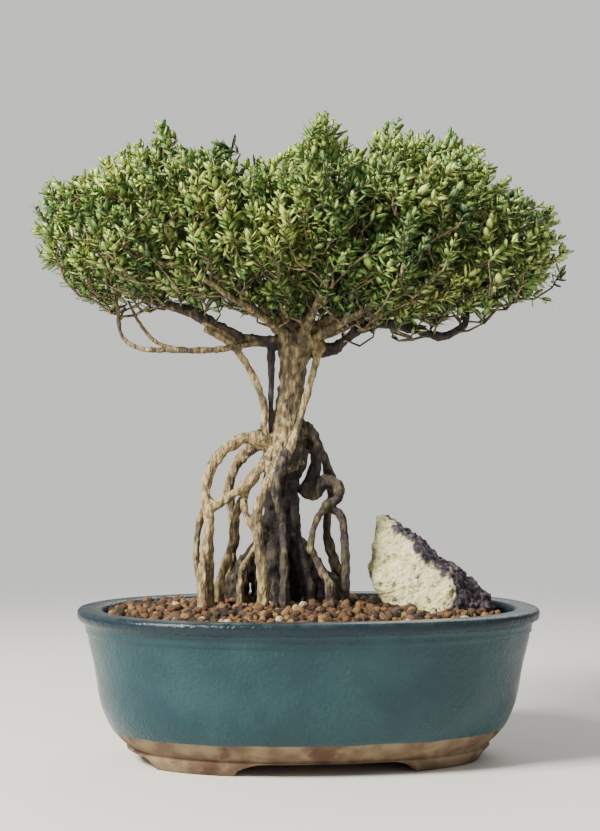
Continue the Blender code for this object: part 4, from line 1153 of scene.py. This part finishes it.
def grow_sprigs(draw):
    """Foot, way and length of each shoot: those of the crown, then the single ones."""
    tips = sprig_tips(draw)
    ways = unit(unit(tips - TREE_HEART) + draw.normal(0, SPRIG_SCATTER, tips.shape) + (0, 0, SPRIG_LIFT))
    lengths = draw.uniform(*SPRIG_LENGTH, len(tips))
    feet = tips - ways * lengths[:, None] * SPRIG_REACH
    shoot_feet = np.array([foot for foot, _ in SHOOTS], dtype=float)
    shoot_ends = np.array([end for _, end in SHOOTS], dtype=float)
    shoot_lengths = np.linalg.norm(shoot_ends - shoot_feet, axis=1)
    feet = np.vstack((feet, shoot_feet))
    ways = np.vstack((ways, unit(shoot_ends - shoot_feet)))
    return feet, ways, np.concatenate((lengths, shoot_lengths))


def twig_rows(feet, draw):
    """Twigs from the branches to the foot of each shoot, each from the nearest twig that is there."""
    stems = branch_rows[FIRST_LEAFY_STEM:len(BARE_STEMS)]
    limbs = branch_rows[len(BARE_STEMS):]
    knots = [spot[:3] for row in limbs for spot in row[LIMB_BARE_SPOTS:]]
    knots += [spot[:3] for row in stems for spot in row[-STEM_LEAFY_SPOTS:]]
    places = np.zeros((len(knots) + len(feet) * TWIG_STEPS, 3))
    places[: len(knots)] = knots
    known = len(knots)
    nearest = [np.linalg.norm(places[:known] - foot, axis=1).min() for foot in feet]
    rows = []
    for number in np.argsort(nearest):
        foot = feet[number]
        descent = np.maximum(0, places[:known, 2] - foot[2] + TWIG_RISE) * TWIG_DESCENT_COST
        away = np.linalg.norm(places[:known] - foot, axis=1) + descent
        root = places[away.argmin()]
        reach = float(np.linalg.norm(foot - root))
        steps = max(1, min(TWIG_STEPS, round(reach / TWIG_STEP)))
        row = [np.array((*root, TWIG_FOOT + min(TWIG_FOOT_MORE, reach / TWIG_FOOT_REACH)))]
        for step in range(1, steps + 1):
            share = step / steps
            sway = draw.normal(0, TWIG_SWAY * reach, 3) * (share < 1)
            spot = root + (foot - root) * share + sway
            row.append(np.array((*spot, TWIG_RADIUS - TWIG_TAPER * share)))
            places[known] = spot
            known += 1
        rows.append(row)
    return rows


growth = np.random.default_rng(CROWN_SEED)
sprig_feet, sprig_ways, sprig_lengths = grow_sprigs(growth)
twigs = twig_rows(sprig_feet, growth)
for foot, way, length in zip(sprig_feet, sprig_ways, sprig_lengths):
    twigs.append([np.array((*(foot + way * length * share), radius)) for share, radius in SHOOT_TAPER])
twig_mesh = tubes("twigs", twigs, TWIG_SIDES)
twig_tones = growth.uniform(*TWIG_TONES, len(twig_mesh.vertices))
twig_mesh.attributes.new("tone", "FLOAT", "POINT").data.foreach_set("value", twig_tones)
twig_piece = new_object("twigs", twig_mesh, bark)
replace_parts(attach(twig_piece, "root"), "trunk_roots_branches")


# Leaves
# Small oval serissa leaves in opposite pairs along each shoot, each pair across the last. They are
# thin, a little arched and drooping, and paler towards the tips. Their dark and yellow-green tones,
# set by clump and at random, are partly painted shade and painted light on the crown.
# The template's shape is in shares of the leaf's length and width, and the spreads are in radians.
LEAF_LENGTH = 5.4
LEAF_WIDTH = 2.5
LEAF_SIDES = 8
LEAF_BLUNTNESS = 0.92
LEAF_ARCH = 0.1408
LEAF_DROOP = 0.1
LEAF_THICKNESS = 0.035
SPRIG_NODES = 6
FIRST_NODE = 0.6
LEAF_SPREAD = 0.95
SPREAD_LOSS = 0.45
SPREAD_SCATTER = 0.16
WAY_SCATTER = 0.12
LEAF_LIFT = 0.7
LIFT_SCATTER = 0.15
LEAF_SIZES = (0.72, 1.25)
END_LEAF = 0.62
SIZE_LEAST = 0.75
SIZE_SWELL = 0.35
SIZE_START = 0.1
LEAF_CHANCE = 0.93
TONE_SPACING = 26.0
TONE_MIDDLE = 0.42
TONE_BY_CLUMP = 0.5
TONE_BY_SPRIG = 0.09
TONE_TO_TIP = 0.26
TONE_BY_LEAF = 0.17
# The leaves are three pieces, parted at these places across the pot, in metres.
CROWN_CUTS = (-1.0, -0.034, 0.026, 1.0)
# The dark and the fresh yellow-green leaf colours are partly painted shade and painted light.
LEAF_DARK_AND_SHADED = (0.024, 0.075, 0.032)
LEAF_GREEN = (0.16, 0.32, 0.058)
LEAF_FRESH_AND_LIT = (0.64, 0.74, 0.17)
LEAF_BLOTCH = (0.24, 0.38, 0.08)
LEAF_RIM = (0.60, 0.70, 0.32)


def leaf_template():
    """Points and faces of a thin closed leaf along +X, one long and one wide."""
    blade = bmesh.new()
    bmesh.ops.create_circle(blade, cap_ends=True, cap_tris=True, segments=LEAF_SIDES, radius=0.5)
    for vert in blade.verts:
        x = vert.co.x + 0.5
        vert.co.x = x ** LEAF_BLUNTNESS
        vert.co.z = -LEAF_ARCH * vert.co.y * vert.co.y - LEAF_DROOP * x * x
    bottom = bmesh.ops.duplicate(blade, geom=blade.verts[:] + blade.edges[:] + blade.faces[:])["geom"]
    under = [part for part in bottom if isinstance(part, bmesh.types.BMFace)]
    bmesh.ops.reverse_faces(blade, faces=under)
    middle = max({vert for face in under for vert in face.verts}, key=lambda vert: len(vert.link_faces))
    middle.co.z -= LEAF_THICKNESS
    bmesh.ops.remove_doubles(blade, verts=blade.verts, dist=0.0001)
    blade.verts.index_update()
    points = np.array([vert.co for vert in blade.verts])
    faces = np.array([[vert.index for vert in face.verts] for face in blade.faces])
    blade.free()
    return points, faces


def leaf_copies(feet, ways, lengths, draw):
    """Place, frame and tone of every leaf: opposite pairs along each shoot, each pair across the last."""
    spots, frames, tones = [], [], []
    sides = unit(np.cross(ways, unit(draw.normal(0, 1, ways.shape))))
    clump = np.array([noise.noise(Vector(foot) / TONE_SPACING) for foot in feet])
    base_tone = TONE_MIDDLE + clump * TONE_BY_CLUMP + draw.normal(0, TONE_BY_SPRIG, len(feet))
    for node in range(SPRIG_NODES + 1):
        share = (node + FIRST_NODE) / (SPRIG_NODES + FIRST_NODE)
        swell = SIZE_LEAST + SIZE_SWELL * math.sin(math.pi * min(1.0, share + SIZE_START))
        out = sides if node % 2 else np.cross(ways, sides)
        for side in (-1, 1):
            spread = draw.normal(LEAF_SPREAD - SPREAD_LOSS * share, SPREAD_SCATTER, len(feet))[:, None]
            scatter = draw.normal(0, WAY_SCATTER, ways.shape)
            way = unit(ways * np.cos(spread) + out * side * np.sin(spread) + scatter)
            up = ways * np.sin(spread) - out * side * np.cos(spread)
            up = unit(up + (0, 0, LEAF_LIFT) + draw.normal(0, LIFT_SCATTER, ways.shape))
            wide = unit(np.cross(up, way))
            up = np.cross(way, wide)
            size = draw.uniform(*LEAF_SIZES, len(feet)) * (1.0 if node < SPRIG_NODES else END_LEAF)
            size = (size * swell)[:, None]
            axes = (way * size * LEAF_LENGTH, wide * size * LEAF_WIDTH, up * size * LEAF_LENGTH)
            kept = draw.uniform(0, 1, len(feet)) < LEAF_CHANCE
            spots.append((feet + ways * (lengths * share)[:, None])[kept])
            frames.append(np.stack(axes, axis=2)[kept])
            leaf_tone = base_tone + TONE_TO_TIP * share + draw.normal(0, TONE_BY_LEAF, len(feet))
            tones.append(leaf_tone[kept])
    return np.concatenate(spots), np.concatenate(frames), np.concatenate(tones)


def leaf_material():
    """Small glossy leaves: dark green to yellow-green by tone, partly painted shade and light, with a paler
    rim and midrib.
    """
    material, shader = new_material("leaf", 0.42)
    tree = material.node_tree
    place = place_of(tree)
    tone = add_node(tree, "ShaderNodeAttribute", attribute_name="tone").outputs["Fac"]
    margin = add_node(tree, "ShaderNodeAttribute", attribute_name="margin").outputs["Fac"]
    colour = mix_colours(tree, step_of(tree, tone, 0.0, 0.55), LEAF_DARK_AND_SHADED, LEAF_GREEN)
    colour = mix_colours(tree, step_of(tree, tone, 0.45, 1.0), colour, LEAF_FRESH_AND_LIT)
    blotch = product_of(tree, mask_of(tree, place, 800.0, 0.45, 0.7), 0.25)
    colour = mix_colours(tree, blotch, colour, LEAF_BLOTCH)
    rim = product_of(tree, step_of(tree, margin, 0.55, 1.0), 0.55)
    midrib = product_of(tree, step_of(tree, margin, 0.16, 0.0), 0.35)
    veins = maths(tree, "MAXIMUM", rim, midrib)
    tree.links.new(mix_colours(tree, veins, colour, LEAF_RIM), shader.inputs["Base Color"])
    tree.links.new(sum_of(tree, product_of(tree, blotch, 0.5), 0.38), shader.inputs["Roughness"])
    tree.links.new(bump_of(tree, mask_of(tree, place, 1600.0, 0.3, 0.7), 0.00015), shader.inputs["Normal"])
    return material


leaf_points, leaf_faces = leaf_template()
leaf_margin = np.abs(leaf_points[:, 1]) * 2
leaf_spots, leaf_frames, leaf_tones = leaf_copies(sprig_feet, sprig_ways, sprig_lengths, growth)
front_rows = np.array(turn_to_front)
leaf_spots = leaf_spots @ front_rows.T * MM + np.array(pot_middle)
leaf_frames = np.einsum("ij,njk->nik", front_rows, leaf_frames) * MM
sprays = [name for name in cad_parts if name.startswith("spray_")]
spray_x = {name: (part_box(name)[0].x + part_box(name)[1].x) / 2 for name in sprays}
leaf = leaf_material()
for name, low, high in zip(("leaves_left", "leaves_middle", "leaves_right"), CROWN_CUTS, CROWN_CUTS[1:]):
    chosen = (leaf_spots[:, 0] >= low) & (leaf_spots[:, 0] < high)
    values = {
        "tone": np.repeat(leaf_tones[chosen], len(leaf_points)),
        "margin": np.tile(leaf_margin, chosen.sum()),
    }
    part = (leaf_points, leaf_faces, leaf_frames[chosen], leaf_spots[chosen], values)
    foliage = new_object(name, copied_mesh(name, [part]), leaf)
    nodes = [spray for spray in sprays if low <= spray_x[spray] < high]
    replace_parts(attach(foliage, "root"), *nodes)
